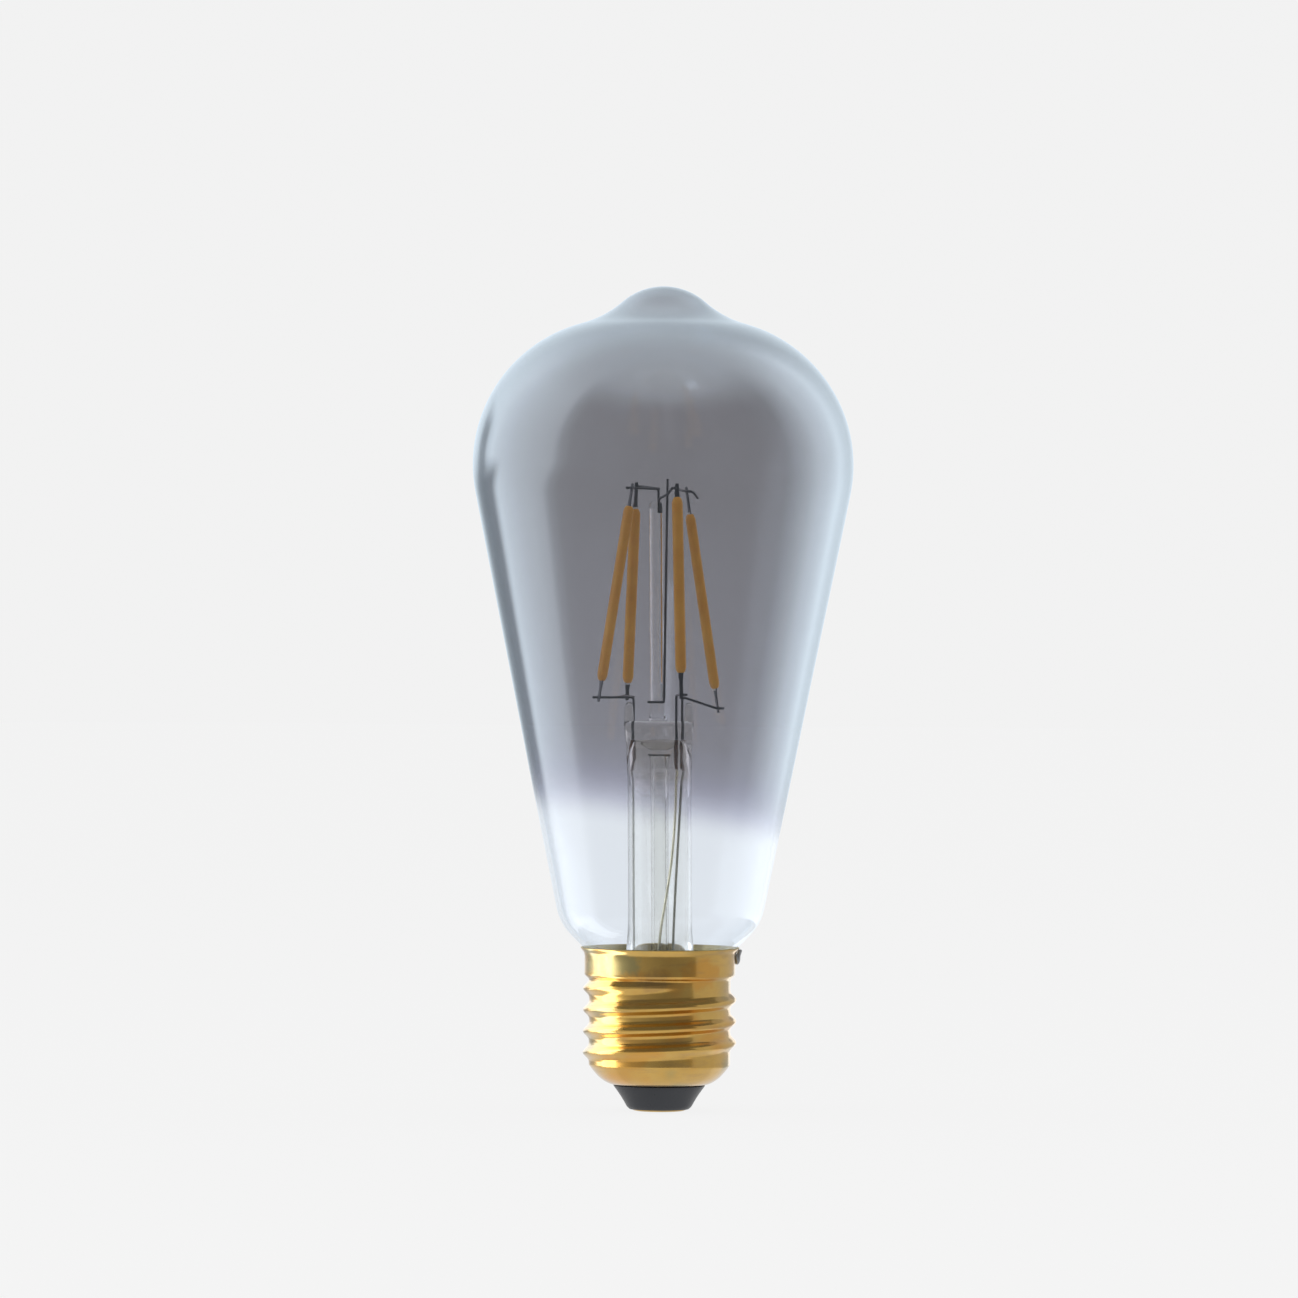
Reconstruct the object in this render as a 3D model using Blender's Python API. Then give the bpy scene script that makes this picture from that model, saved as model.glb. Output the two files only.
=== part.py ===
"""Screw-cap LED filament bulb in the squirrel-cage style, built from its separate real pieces.

Frame: metres, +Z along the bulb from the centre contact (z = 0) to the glass tip, viewer looks along +Y.
All dimensions below are in millimetres; the finished meshes are scaled to metres in the last step.
"""
import math

import bmesh
import bpy
from mathutils import Matrix, Vector

MM = 0.001
TAU = 2.0 * math.pi

# ---- glass envelope: a tangent walk from the tip down the outside, then back up the inside ----
TIP_Z = 140.0
WALL = 0.8
TIP_RADIUS = 10.7
TIP_TURN = 41.3
SADDLE_RADIUS = 17.5
SADDLE_TURN = 26.1
SHOULDER_RADIUS = 24.8
SHOULDER_TURN = 86.2
CONE_LENGTH = 71.58
HEEL_RADIUS = 9.5
HEEL_TURN = 33.6
THROAT_LENGTH = 4.5
NECK_BEND_RADIUS = 2.2
NECK_BEND_TURN = 45.0
NECK_LENGTH = 5.2
ENVELOPE_SIDES = 48

# ---- E27 screw shell ----
THREAD_PITCH = 3.629
THREAD_ROOT = 12.0
THREAD_DEPTH = 1.05
THREAD_SHARPNESS = 1.5
THREAD_START_Z = 8.05
THREAD_FADE_IN = 120.0
THREAD_FADE_OUT_FROM = 1260.0
THREAD_FADE_OUT_TO = 1400.0
OUTER_ROWS_PER_PITCH = 6
INNER_ROWS_PER_PITCH = 4
SHEET = 0.35
SKIRT_RADIUS = 12.85
SKIRT_STEP_Z = (22.1, 23.3)
SKIRT_TOP_Z = 26.4
LIP_RADIUS = 13.5
LIP_Z = 27.75
SHELL_BOTTOM = ((7.5, 4.45), (8.2, 4.55), (9.0, 4.85), (10.0, 5.5), (11.0, 6.5), (11.75, 7.5))
SHELL_SIDES = 36
WIRE_HOLE_RADIUS = 0.35

# ---- insulator and contacts ----
INSULATOR_SIDES = 32
CONTACT_RADIUS = 4.65
CONTACT_THICK = 0.6
PIN_RADIUS = 0.75
PIN_TOP_Z = 6.5
SOLDER_CENTRE = (13.1, 26.2)
SOLDER_HALF = (0.6, 0.85, 1.2)

# ---- glass mount: stem, exhaust tube and arbor rod, leaning a little to the left as they rise ----
LEAN_X = -0.42
LEAN_FROM_Z = 20.0
STEM_SIDES = 28
STEM_RADIUS = 5.45
STEM_WALL = 0.6
PRESS_HALF_WIDTH = 5.75
PRESS_HALF_THICK = 1.9
PRESS_TOP_Z = 66.2
PRESS_ROOF_Z = 61.0
FLARE_RIM_RADIUS = 10.25
FLARE_RIM_Z = 19.7
HORNS = ((-5.5, 0.0), (4.65, 0.3))
HORN_TOP_Z = 69.3
EXHAUST_RADIUS = 1.5
EXHAUST_BORE = 1.0
EXHAUST_FLARE = 2.0
EXHAUST_TOP_Z = 60.4
EXHAUST_TIP_Z = 17.4
ROD_RADIUS = 1.15
ROD_FOOT_RADIUS = 1.6
ROD_FOOT = (-0.7, 0.0, PRESS_TOP_Z + 0.1)
ROD_TOP = (-1.2, 0.0, 103.5)
ANCHOR_DEPTH = 2.0
ANCHOR_HOLE_RADIUS = 0.3

# ---- wires: three leads through the press, and the wires above it ----
LEAD_RADIUS = 0.22
SUPPORT_RADIUS = 0.22
SEAL_RADIUS = 0.3
SEAL_Z = (57.7, 63.0)
TUNNEL_RADIUS = 0.38
TUNNEL_Z = (57.0, 71.0)
WELD_GAP = 0.05
LEAD_PLACES = {"common": (-4.75, 0.0), "front": (2.5, -0.7), "right": (3.5, 0.5)}
LEAD_FOOT_FILAMENTS = {"common": "front_left", "front": "front_right", "right": "back_right"}
LEAD_POST_TOPS = {"common": 70.2, "front": 70.6, "right": 70.3}
LEAD_TAILS = {
    "common": ((-4.74, 0.0, 52.0), (-4.52, 0.0, 29.0), (-4.2, 0.0, 14.7)),
    "front": ((2.4, -1.9, 50.0), (1.8, -2.6, 42.0), (0.9, -2.8, 36.0), (0.0, -2.8, 30.5), (-0.45, -2.6, 24.0),
              (0.1, -2.4, 14.7)),
    "right": ((3.1, 0.5, 48.0), (2.55, 0.5, 37.5), (2.2, 0.5, 28.0), (2.3, 0.5, 14.7)),
}
LOWER_CROSS_START = (-4.75, 0.55, 70.2)
LEFT_ANCHOR = (-0.75, 0.35)
RIGHT_ANCHOR = (-0.75, -0.45)
TOP_LEFT_BEND_Z = 105.6
TOP_BACK_START = (-0.55, 0.88, 105.6)
TOP_RIGHT_BENDS = ((-0.72, -0.5, 103.9), (0.9, -2.4, 104.7))
TOP_RIGHT_END = (6.0, 4.6, 104.1)
SUPPORT_TOP = (0.78, -0.3, 107.3)
SUPPORT_FOOT = ((0.4, -1.06, 69.5), (0.3, -1.45, 69.4), (-2.4, -1.5, 69.4))

# ---- LED filaments: (x, y, z) of the two ends of the coated part ----
FILAMENTS = {
    "front_left": ((-10.2, -4.9, 73.0), (-5.7, -3.9, 102.6)),
    "back_left": ((-5.8, 9.3, 72.6), (-4.7, 4.9, 102.3)),
    "front_right": ((3.2, -9.8, 74.4), (2.4, -5.4, 104.1)),
    "back_right": ((9.1, 4.1, 71.7), (4.6, 3.4, 101.4)),
}
FILAMENT_CENTRE_X = -0.7
TAB_END_Z = {
    "front_left": (69.4, 106.4),
    "back_left": (69.6, 106.8),
    "front_right": (70.0, 106.4),
    "back_right": (67.6, 106.0),
}
COAT_HALF = (0.9, 0.78)
COAT_SLOT_HALF = (0.56, 0.36)
STRIP_HALF_WIDTH = 0.42
STRIP_THICK = 0.3
STRIP_OVERHANG = 0.3
CHIP_COUNT = 12
CHIP_LENGTH = 1.1
CHIP_HEIGHT = 0.18
TAB_HALF_WIDTH = 0.34
TAB_HALF_THICK = 0.11
WELD_FROM_TAB_END = 0.75
WELD_LEAD_IN = 0.6
WELD_TAIL = 0.85

# ---- driver electronics in the cap ----
BOARD_RADIUS = 10.8
BOARD_Z = (14.6, 15.6)
BOARD_HOLE_RADIUS = 0.4
PARTS_UNDER_Z = BOARD_Z[0] - 0.1
LIVE_WIRE_RADIUS = 0.45
NEUTRAL_WIRE_RADIUS = 0.17

COLOURS = {
    "smoke_glass": ((0.55, 0.57, 0.62, 1.0), 0.0, 0.08),
    "clear_glass": ((0.80, 0.86, 0.88, 1.0), 0.0, 0.08),
    "brass": ((0.80, 0.60, 0.25, 1.0), 1.0, 0.3),
    "black_glass": ((0.03, 0.03, 0.035, 1.0), 0.0, 0.25),
    "solder": ((0.55, 0.56, 0.57, 1.0), 1.0, 0.4),
    "cement": ((0.62, 0.58, 0.50, 1.0), 0.0, 0.9),
    "nickel": ((0.45, 0.45, 0.44, 1.0), 1.0, 0.35),
    "dumet": ((0.42, 0.20, 0.13, 1.0), 1.0, 0.4),
    "tinned_copper": ((0.55, 0.54, 0.50, 1.0), 1.0, 0.35),
    "phosphor": ((0.80, 0.45, 0.10, 1.0), 0.0, 0.5),
    "strip": ((0.70, 0.70, 0.68, 1.0), 0.0, 0.5),
    "tab_steel": ((0.35, 0.35, 0.36, 1.0), 1.0, 0.4),
    "board": ((0.06, 0.22, 0.12, 1.0), 0.0, 0.5),
    "capacitor": ((0.08, 0.09, 0.12, 1.0), 0.0, 0.4),
    "ferrite": ((0.12, 0.12, 0.12, 1.0), 0.0, 0.6),
    "chip_black": ((0.03, 0.03, 0.03, 1.0), 0.0, 0.5),
    "module": ((0.05, 0.10, 0.20, 1.0), 0.0, 0.5),
    "resistor": ((0.20, 0.42, 0.30, 1.0), 0.0, 0.6),
    "insulated_wire": ((0.55, 0.06, 0.05, 1.0), 0.0, 0.5),
}


# ------------------------------------------------------------------ general helpers

def clear_scene():
    for old in list(bpy.data.objects):
        bpy.data.objects.remove(old, do_unlink=True)


def material(name):
    """One Principled material; the colour table above holds base colour, metallic and roughness."""
    made = bpy.data.materials.get(name)
    if made is None:
        colour, metallic, roughness = COLOURS[name]
        made = bpy.data.materials.new(name)
        made.use_nodes = True
        made.diffuse_color = colour
        shader = made.node_tree.nodes["Principled BSDF"]
        shader.inputs["Base Color"].default_value = colour
        shader.inputs["Metallic"].default_value = metallic
        shader.inputs["Roughness"].default_value = roughness
    return made


def make_solid(name, verts, faces, material_name, sharp_angle=35.0):
    """A closed mesh object, faces outward; it stays in millimetres until the assembly is complete."""
    mesh = bpy.data.meshes.new(name)
    mesh.from_pydata([Vector(v) for v in verts], [], faces)
    work = bmesh.new()
    work.from_mesh(mesh)
    bmesh.ops.recalc_face_normals(work, faces=work.faces[:])
    if work.calc_volume(signed=True) < 0.0:
        bmesh.ops.reverse_faces(work, faces=work.faces[:])
    work.to_mesh(mesh)
    work.free()
    mesh.materials.append(material(material_name))
    mesh.shade_smooth()
    mesh.set_sharp_from_angle(angle=math.radians(sharp_angle))
    solid = bpy.data.objects.new(name, mesh)
    bpy.context.scene.collection.objects.link(solid)
    return solid


def combine(solid, tool, operation):
    """Apply one exact Boolean between two objects and remove the tool."""
    modifier = solid.modifiers.new("combine", "BOOLEAN")
    modifier.operation = operation
    modifier.solver = "EXACT"
    modifier.object = tool
    bpy.context.view_layer.update()
    evaluated = solid.evaluated_get(bpy.context.evaluated_depsgraph_get())
    mesh = bpy.data.meshes.new_from_object(evaluated)
    solid.modifiers.clear()
    old = solid.data
    solid.data = mesh
    bpy.data.meshes.remove(old)
    bpy.data.objects.remove(tool, do_unlink=True)


def ring_points(radius, z, sides, centre=(0.0, 0.0)):
    """One ring of points; radius may be a number or a function of the angle."""
    points = []
    for i in range(sides):
        angle = TAU * i / sides
        r = radius(angle) if callable(radius) else radius
        points.append((centre[0] + r * math.cos(angle), centre[1] + r * math.sin(angle), z))
    return points


def join_rings(rings, closed_loop):
    """Stack rings into one closed surface; a one-point ring is a pole.

    closed_loop joins the last ring to the first, otherwise open end rings get a flat face.
    """
    verts = []
    starts = []
    for ring in rings:
        starts.append(len(verts))
        verts.extend(ring)
    faces = []
    pairs = list(zip(range(len(rings) - 1), range(1, len(rings))))
    if closed_loop:
        pairs.append((len(rings) - 1, 0))
    for a, b in pairs:
        faces.extend(bridge(starts[a], len(rings[a]), starts[b], len(rings[b])))
    if not closed_loop:
        for index in (0, len(rings) - 1):
            count = len(rings[index])
            if count > 1:
                faces.append(tuple(starts[index] + i for i in range(count)))
    return verts, faces


def bridge(start_a, count_a, start_b, count_b):
    """Faces between two rings of equal count, or between a ring and a pole."""
    faces = []
    count = max(count_a, count_b)
    for i in range(count):
        j = (i + 1) % count
        if count_a == 1:
            faces.append((start_a, start_b + i, start_b + j))
        elif count_b == 1:
            faces.append((start_a + i, start_a + j, start_b))
        else:
            faces.append((start_a + i, start_a + j, start_b + j, start_b + i))
    return faces


def lathe(name, profile, sides, material_name, closed_loop, centre=(0.0, 0.0), sharp_angle=35.0):
    """Solid of revolution from (radius, z) points; a point at radius 0 becomes a pole."""
    rings = []
    for radius, z in profile:
        if not callable(radius) and radius == 0.0:
            rings.append([(centre[0], centre[1], z)])
        else:
            rings.append(ring_points(radius, z, sides, centre))
    verts, faces = join_rings(rings, closed_loop)
    return make_solid(name, verts, faces, material_name, sharp_angle)


def cylinder(name, radius, low, high, sides, material_name):
    """Round bar from one point to another."""
    return wire(name, [low, high], radius, sides, material_name)


def box(name, centre, half, material_name):
    """Rectangular block with chamfered vertical edges."""
    chamfer = 0.15 * min(half[0], half[1])
    outline = []
    for sx, sy in ((1, 1), (-1, 1), (-1, -1), (1, -1)):
        first = (sx * half[0], sy * (half[1] - chamfer))
        second = (sx * (half[0] - chamfer), sy * half[1])
        outline.extend([first, second] if sx * sy > 0 else [second, first])
    rings = []
    for dz in (-half[2], half[2]):
        rings.append([(centre[0] + x, centre[1] + y, centre[2] + dz) for x, y in outline])
    verts, faces = join_rings(rings, False)
    return make_solid(name, verts, faces, material_name)


def soften_corners(points, bend):
    """Replace each inner corner of a path by three points of a bend."""
    path = [Vector(points[0])]
    for before, corner, after in zip(points, points[1:], points[2:]):
        corner = Vector(corner)
        back = Vector(before) - corner
        ahead = Vector(after) - corner
        start = corner + back.normalized() * min(bend, 0.45 * back.length)
        end = corner + ahead.normalized() * min(bend, 0.45 * ahead.length)
        path.append(start)
        path.append(0.25 * start + 0.5 * corner + 0.25 * end)
        path.append(end)
    path.append(Vector(points[-1]))
    return path


def wire(name, points, radius, sides, material_name, bend=0.0):
    """Round wire swept along a path of points, with bends and flat ends."""
    path = soften_corners(points, bend) if bend > 0.0 else [Vector(p) for p in points]
    directions = [(b - a).normalized() for a, b in zip(path, path[1:])]
    side = directions[0].orthogonal().normalized()
    rings = []
    for i, point in enumerate(path):
        before = directions[max(i - 1, 0)]
        after = directions[min(i, len(directions) - 1)]
        tangent = (before + after).normalized()
        side = (side - tangent * side.dot(tangent)).normalized()
        other = tangent.cross(side)
        ring = []
        for k in range(sides):
            angle = TAU * k / sides
            ring.append(point + side * radius * math.cos(angle) + other * radius * math.sin(angle))
        rings.append(ring)
    verts, faces = join_rings(rings, False)
    return make_solid(name, verts, faces, material_name)


def smoothstep(low, high, value):
    t = min(max((value - low) / (high - low), 0.0), 1.0)
    return t * t * (3.0 - 2.0 * t)


def lean_x(z):
    """Sideways place of the stem's centre line: true at the neck, off the axis higher up."""
    t = max(z - LEAN_FROM_Z, 0.0) / (PRESS_TOP_Z - LEAN_FROM_Z)
    return LEAN_X * t ** 1.5


# ------------------------------------------------------------------ glass envelope

def walk_profile(start, heading, steps):
    """Points and outward normals of a profile made of tangent arcs and lines.

    A step is (arc radius or None, turn in degrees or length, sub-divisions); the heading is measured
    downward from the outward direction and a negative arc radius bends the other way.
    """
    r, z = start
    angle = math.radians(heading)
    found = [(r, z, math.sin(angle), math.cos(angle))]
    for radius, amount, count in steps:
        for _ in range(count):
            if radius is None:
                length = amount / count
                r += length * math.cos(angle)
                z -= length * math.sin(angle)
            else:
                turn = math.radians(amount) / count * math.copysign(1.0, radius)
                chord = 2.0 * abs(radius) * math.sin(abs(turn) / 2.0)
                r += chord * math.cos(angle + turn / 2.0)
                z -= chord * math.sin(angle + turn / 2.0)
                angle += turn
            found.append((r, z, math.sin(angle), math.cos(angle)))
    return found


def envelope_steps():
    return [
        (TIP_RADIUS, TIP_TURN, 4),
        (-SADDLE_RADIUS, SADDLE_TURN, 3),
        (SHOULDER_RADIUS, SHOULDER_TURN, 9),
        (None, CONE_LENGTH, 1),
        (HEEL_RADIUS, HEEL_TURN, 3),
        (None, THROAT_LENGTH, 1),
        (-NECK_BEND_RADIUS, NECK_BEND_TURN, 1),
        (None, NECK_LENGTH, 1),
    ]


def build_envelope():
    """Blown glass body, open at the neck end."""
    outside = walk_profile((0.0, TIP_Z), 0.0, envelope_steps())
    profile = [(r, z) for r, z, _, _ in outside]
    profile[0] = (0.0, TIP_Z)
    last_r, last_z = profile[-1]
    profile.append((last_r - WALL / 2.0, last_z - WALL / 2.0))
    for r, z, normal_r, normal_z in reversed(outside[1:]):
        profile.append((r - WALL * normal_r, z - WALL * normal_z))
    profile.append((0.0, TIP_Z - WALL))
    lathe("glass_envelope", profile, ENVELOPE_SIDES, "smoke_glass", False, sharp_angle=60.0)


# ------------------------------------------------------------------ screw cap

def thread_height(z, angle):
    """How far the rolled thread stands out of its root at one height and angle."""
    height = 0.0
    for turn in range(-1, 6):
        total = math.degrees(angle) + 360.0 * turn
        crest_z = THREAD_START_Z + THREAD_PITCH * total / 360.0
        offset = abs(z - crest_z) / THREAD_PITCH
        if offset < 0.5:
            fade_in = smoothstep(0.0, THREAD_FADE_IN, total)
            fade_out = 1.0 - smoothstep(THREAD_FADE_OUT_FROM, THREAD_FADE_OUT_TO, total)
            bump = (0.5 + 0.5 * math.cos(TAU * offset)) ** THREAD_SHARPNESS
            height = THREAD_DEPTH * bump * fade_in * fade_out
    return height


def shell_radius_at(z, inset):
    """Radius of the threaded wall as a function of the angle."""
    step = smoothstep(SKIRT_STEP_Z[0], SKIRT_STEP_Z[1], z)
    base = THREAD_ROOT + (SKIRT_RADIUS - THREAD_ROOT) * step
    return lambda angle: max(base, THREAD_ROOT + thread_height(z, angle)) - inset


def thread_rows(rows_per_pitch):
    """Evenly spaced heights over the threaded wall."""
    low = SHELL_BOTTOM[-1][1] + 0.5
    high = SKIRT_STEP_Z[1] + 0.3
    count = math.ceil((high - low) * rows_per_pitch / THREAD_PITCH)
    return [low + (high - low) * i / count for i in range(count + 1)]


def build_screw_shell():
    """Thin brass shell: curled-in bottom, rolled thread, plain skirt and a small flared lip."""
    outside = list(SHELL_BOTTOM)
    outside.extend((shell_radius_at(z, 0.0), z) for z in thread_rows(OUTER_ROWS_PER_PITCH))
    outside.append((SKIRT_RADIUS, SKIRT_TOP_Z))
    outside.append((LIP_RADIUS, LIP_Z))
    inside = [(LIP_RADIUS - SHEET, LIP_Z + 0.05), (SKIRT_RADIUS - SHEET, SKIRT_TOP_Z + 0.1)]
    inside.extend((shell_radius_at(z, SHEET), z) for z in reversed(thread_rows(INNER_ROWS_PER_PITCH)))
    inside.extend((r - 0.6 * SHEET, z + 0.8 * SHEET) for r, z in reversed(SHELL_BOTTOM[1:]))
    inside.append((SHELL_BOTTOM[0][0], SHELL_BOTTOM[0][1] + SHEET))
    shell = lathe("screw_shell", outside + inside, SHELL_SIDES, "brass", True)
    hole_z = SOLDER_CENTRE[1]
    drill = cylinder("drill", WIRE_HOLE_RADIUS, (11.5, 0.0, hole_z), (14.5, 0.0, hole_z), 8, "brass")
    combine(shell, drill, "DIFFERENCE")


def build_insulator():
    """Black glass insulator: outer cone, hub through the shell hole and a flange inside."""
    bore = PIN_RADIUS + 0.1
    seat = CONTACT_RADIUS + 0.1
    profile = [
        (bore, CONTACT_THICK + 0.1), (seat, CONTACT_THICK + 0.1), (seat, 0.4), (5.1, 0.35), (5.45, 0.7),
        (5.8, 1.4), (6.5, 2.5), (7.2, 3.5), (7.85, 4.4), (7.4, 4.45), (7.4, 4.9), (8.4, 5.05),
        (8.3, 5.9), (6.6, 6.2), (2.2, 5.4), (bore, 5.4),
    ]
    lathe("insulator", profile, INSULATOR_SIDES, "black_glass", True)


def build_centre_contact():
    """Flat brass contact plate with the pin that holds the live wire."""
    profile = [
        (0.0, 0.0), (4.3, 0.0), (CONTACT_RADIUS, 0.25), (CONTACT_RADIUS - 0.1, CONTACT_THICK),
        (PIN_RADIUS, CONTACT_THICK), (PIN_RADIUS, PIN_TOP_Z - 0.2), (PIN_RADIUS - 0.2, PIN_TOP_Z),
        (0.0, PIN_TOP_Z),
    ]
    lathe("centre_contact", profile, INSULATOR_SIDES, "brass", False)


def build_cap_cement():
    """Ring of capping cement between the glass neck and the brass skirt, slotted for the wire."""
    outer = SKIRT_RADIUS - SHEET - 0.1
    section = ((11.32, 23.6), (outer, 23.6), (outer, 26.2), (11.9, 26.2), (11.4, 24.8))
    sides = 28
    half_gap = 0.09
    rings = []
    for i in range(sides + 1):
        angle = half_gap + (TAU - 2.0 * half_gap) * i / sides
        c, s = math.cos(angle), math.sin(angle)
        rings.append([(r * c, r * s, z) for r, z in section])
    verts, faces = join_rings(rings, False)
    make_solid("cap_cement", verts, faces, "cement")


def build_side_solder():
    """Solder bead on the skirt where the neutral wire comes out."""
    centre_r, centre_z = SOLDER_CENTRE
    rings = []
    steps, sides = 8, 14
    for i in range(steps + 1):
        phi = math.pi * i / steps
        z = centre_z + SOLDER_HALF[2] * math.cos(phi)
        flare = (LIP_RADIUS - SKIRT_RADIUS) * max(z - SKIRT_TOP_Z, 0.0) / (LIP_Z - SKIRT_TOP_Z)
        surface = SKIRT_RADIUS + flare + 0.06
        ring = []
        for k in range(sides):
            angle = TAU * k / sides
            x = centre_r + flare + SOLDER_HALF[0] * math.sin(phi) * math.cos(angle)
            y = SOLDER_HALF[1] * math.sin(phi) * math.sin(angle)
            reach = math.hypot(x, y)
            scale = max(reach, surface) / reach
            ring.append((x * scale, y * scale, z))
        rings.append([ring[0]] if i in (0, steps) else ring)
    verts, faces = join_rings(rings, False)
    make_solid("side_solder", verts, faces, "solder")


# ------------------------------------------------------------------ glass mount

def oval(half_x, half_y, z, squareness, sides, shift):
    """Ring of a rounded oval: squareness 2 is an ellipse, larger is boxier."""
    power = 2.0 / squareness
    points = []
    for i in range(sides):
        angle = TAU * (i + 0.5) / sides
        c, s = math.cos(angle), math.sin(angle)
        x = math.copysign(abs(c) ** power, c) * half_x
        y = math.copysign(abs(s) ** power, s) * half_y
        points.append((x + shift, y, z))
    return points


def build_stem():
    """Flare tube whose top end is pinched flat into the press around the leads, with a horn at each end."""
    inner = STEM_RADIUS - STEM_WALL
    edge = 0.4
    outside = (
        (PRESS_HALF_WIDTH - edge, PRESS_HALF_THICK - edge, PRESS_TOP_Z, 4.0),
        (PRESS_HALF_WIDTH, PRESS_HALF_THICK, PRESS_TOP_Z - 0.5, 4.0),
        (PRESS_HALF_WIDTH, PRESS_HALF_THICK, 63.4, 4.0), (5.65, 2.2, 62.0, 3.2), (5.6, 3.2, 60.4, 2.5),
        (5.55, 4.7, 58.4, 2.1), (STEM_RADIUS, STEM_RADIUS, 56.0, 2.0), (STEM_RADIUS, STEM_RADIUS, 45.0, 2.0),
        (STEM_RADIUS, STEM_RADIUS, 33.0, 2.0), (5.6, 5.6, 29.0, 2.0), (6.1, 6.1, 26.0, 2.0),
        (7.4, 7.4, 23.4, 2.0), (9.3, 9.3, 21.2, 2.0), (FLARE_RIM_RADIUS, FLARE_RIM_RADIUS, FLARE_RIM_Z, 2.0),
    )
    cavity = (
        (9.5, 9.5, 19.75, 2.0), (8.7, 8.7, 20.9, 2.0), (6.7, 6.7, 23.4, 2.0), (5.3, 5.3, 26.2, 2.0),
        (inner, inner, 29.0, 2.0), (inner, inner, 33.0, 2.0), (inner, inner, 45.0, 2.0),
        (inner, inner, 55.0, 2.0), (inner, 4.3, 57.2, 2.0), (4.7, 3.3, 59.2, 2.2), (4.65, 2.1, 60.9, 2.4),
        (4.3, 1.2, 62.4, 2.8), (3.6, 0.85, 62.7, 3.0), (2.6, 0.6, 61.8, 2.6), (1.2, 0.3, 61.15, 2.2),
    )
    rings = [oval(a, b, z, q, STEM_SIDES, lean_x(z)) for a, b, z, q in outside + cavity]
    rings.append([(lean_x(PRESS_ROOF_Z), 0.0, PRESS_ROOF_Z)])
    verts, faces = join_rings(rings, False)
    stem = make_solid("glass_stem", verts, faces, "clear_glass", 50.0)
    for place in HORNS:
        combine(stem, horn_of_glass(place), "UNION")
    for x, y in LEAD_PLACES.values():
        tunnel = cylinder("tunnel", TUNNEL_RADIUS, (x, y, TUNNEL_Z[0]), (x, y, TUNNEL_Z[1]), 8, "clear_glass")
        combine(stem, tunnel, "DIFFERENCE")
    stem.data.shade_smooth()
    stem.data.set_sharp_from_angle(angle=math.radians(50.0))


def horn_of_glass(place):
    """Glass drawn up beside a lead where it leaves the press."""
    sections = (
        (0.4, 0.6, PRESS_TOP_Z - 4.0), (0.68, 0.9, PRESS_TOP_Z - 2.6), (0.86, 1.1, PRESS_TOP_Z - 0.6),
        (0.86, 1.1, PRESS_TOP_Z + 0.4), (0.8, 0.95, PRESS_TOP_Z + 1.4), (0.72, 0.8, HORN_TOP_Z - 0.7),
        (0.5, 0.5, HORN_TOP_Z - 0.15), (0.2, 0.2, HORN_TOP_Z),
    )
    rings = []
    for half_x, half_y, z in sections:
        rings.append([(x, y + place[1], z) for x, y, z in oval(half_x, half_y, z, 2.0, 12, place[0])])
    verts, faces = join_rings(rings, False)
    return make_solid("horn", verts, faces, "clear_glass")


def build_exhaust_tube():
    """Tube the bulb is pumped through, flared open under the press and melted shut at the other end."""
    tip, top = EXHAUST_TIP_Z, EXHAUST_TOP_Z
    profile = [
        (0.0, tip), (0.7, tip + 0.45), (1.3, tip + 2.0), (EXHAUST_RADIUS, tip + 4.5), (EXHAUST_RADIUS, 33.0),
        (EXHAUST_RADIUS, 45.0), (EXHAUST_RADIUS, top - 3.0), (1.65, top - 1.0), (EXHAUST_FLARE, top),
        (1.4, top), (EXHAUST_BORE, top - 1.2), (EXHAUST_BORE, 45.0), (EXHAUST_BORE, 33.0),
        (EXHAUST_BORE, tip + 4.8), (0.75, tip + 3.2), (0.0, tip + 1.8),
    ]
    rings = []
    for radius, z in profile:
        centre = (lean_x(z), 0.0)
        rings.append([(centre[0], 0.0, z)] if radius == 0.0 else ring_points(radius, z, 16, centre))
    verts, faces = join_rings(rings, False)
    make_solid("exhaust_tube", verts, faces, "clear_glass")


def build_arbor_rod():
    """Glass rod standing on the press, with blind holes in its top for the two anchored wires."""
    foot, top = Vector(ROD_FOOT), Vector(ROD_TOP)
    height = top.z - foot.z
    profile = [(ROD_FOOT_RADIUS, 0.0), (ROD_RADIUS, 0.9), (ROD_RADIUS, height - 0.8),
               (0.9 * ROD_RADIUS, height - 0.2), (0.78 * ROD_RADIUS, height)]
    rings = []
    for radius, up in profile:
        centre = foot.lerp(top, up / height)
        rings.append(ring_points(radius, centre.z, 20, (centre.x, centre.y)))
    verts, faces = join_rings(rings, False)
    rod = make_solid("arbor_rod", verts, faces, "clear_glass")
    for x, y in (LEFT_ANCHOR, RIGHT_ANCHOR):
        floor = (x, y, top.z - ANCHOR_DEPTH - WELD_GAP)
        drill = cylinder("drill", ANCHOR_HOLE_RADIUS, floor, (x, y, top.z + 1.0), 8, "clear_glass")
        combine(rod, drill, "DIFFERENCE")


# ------------------------------------------------------------------ filaments

def filament_frame(name):
    """Ends, axis, outward normal and side direction of one filament."""
    low, high = (Vector(p) for p in FILAMENTS[name])
    axis = (high - low).normalized()
    middle = (low + high) / 2.0
    outward = Vector((middle.x - FILAMENT_CENTRE_X, middle.y, 0.0))
    outward = (outward - axis * outward.dot(axis)).normalized()
    return low, high, axis, outward, axis.cross(outward)


def placed(frame_origin, axis, outward, side, points):
    """Local (along, outward, side) points in bulb coordinates."""
    return [frame_origin + axis * a + outward * b + side * c for a, b, c in points]


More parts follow.
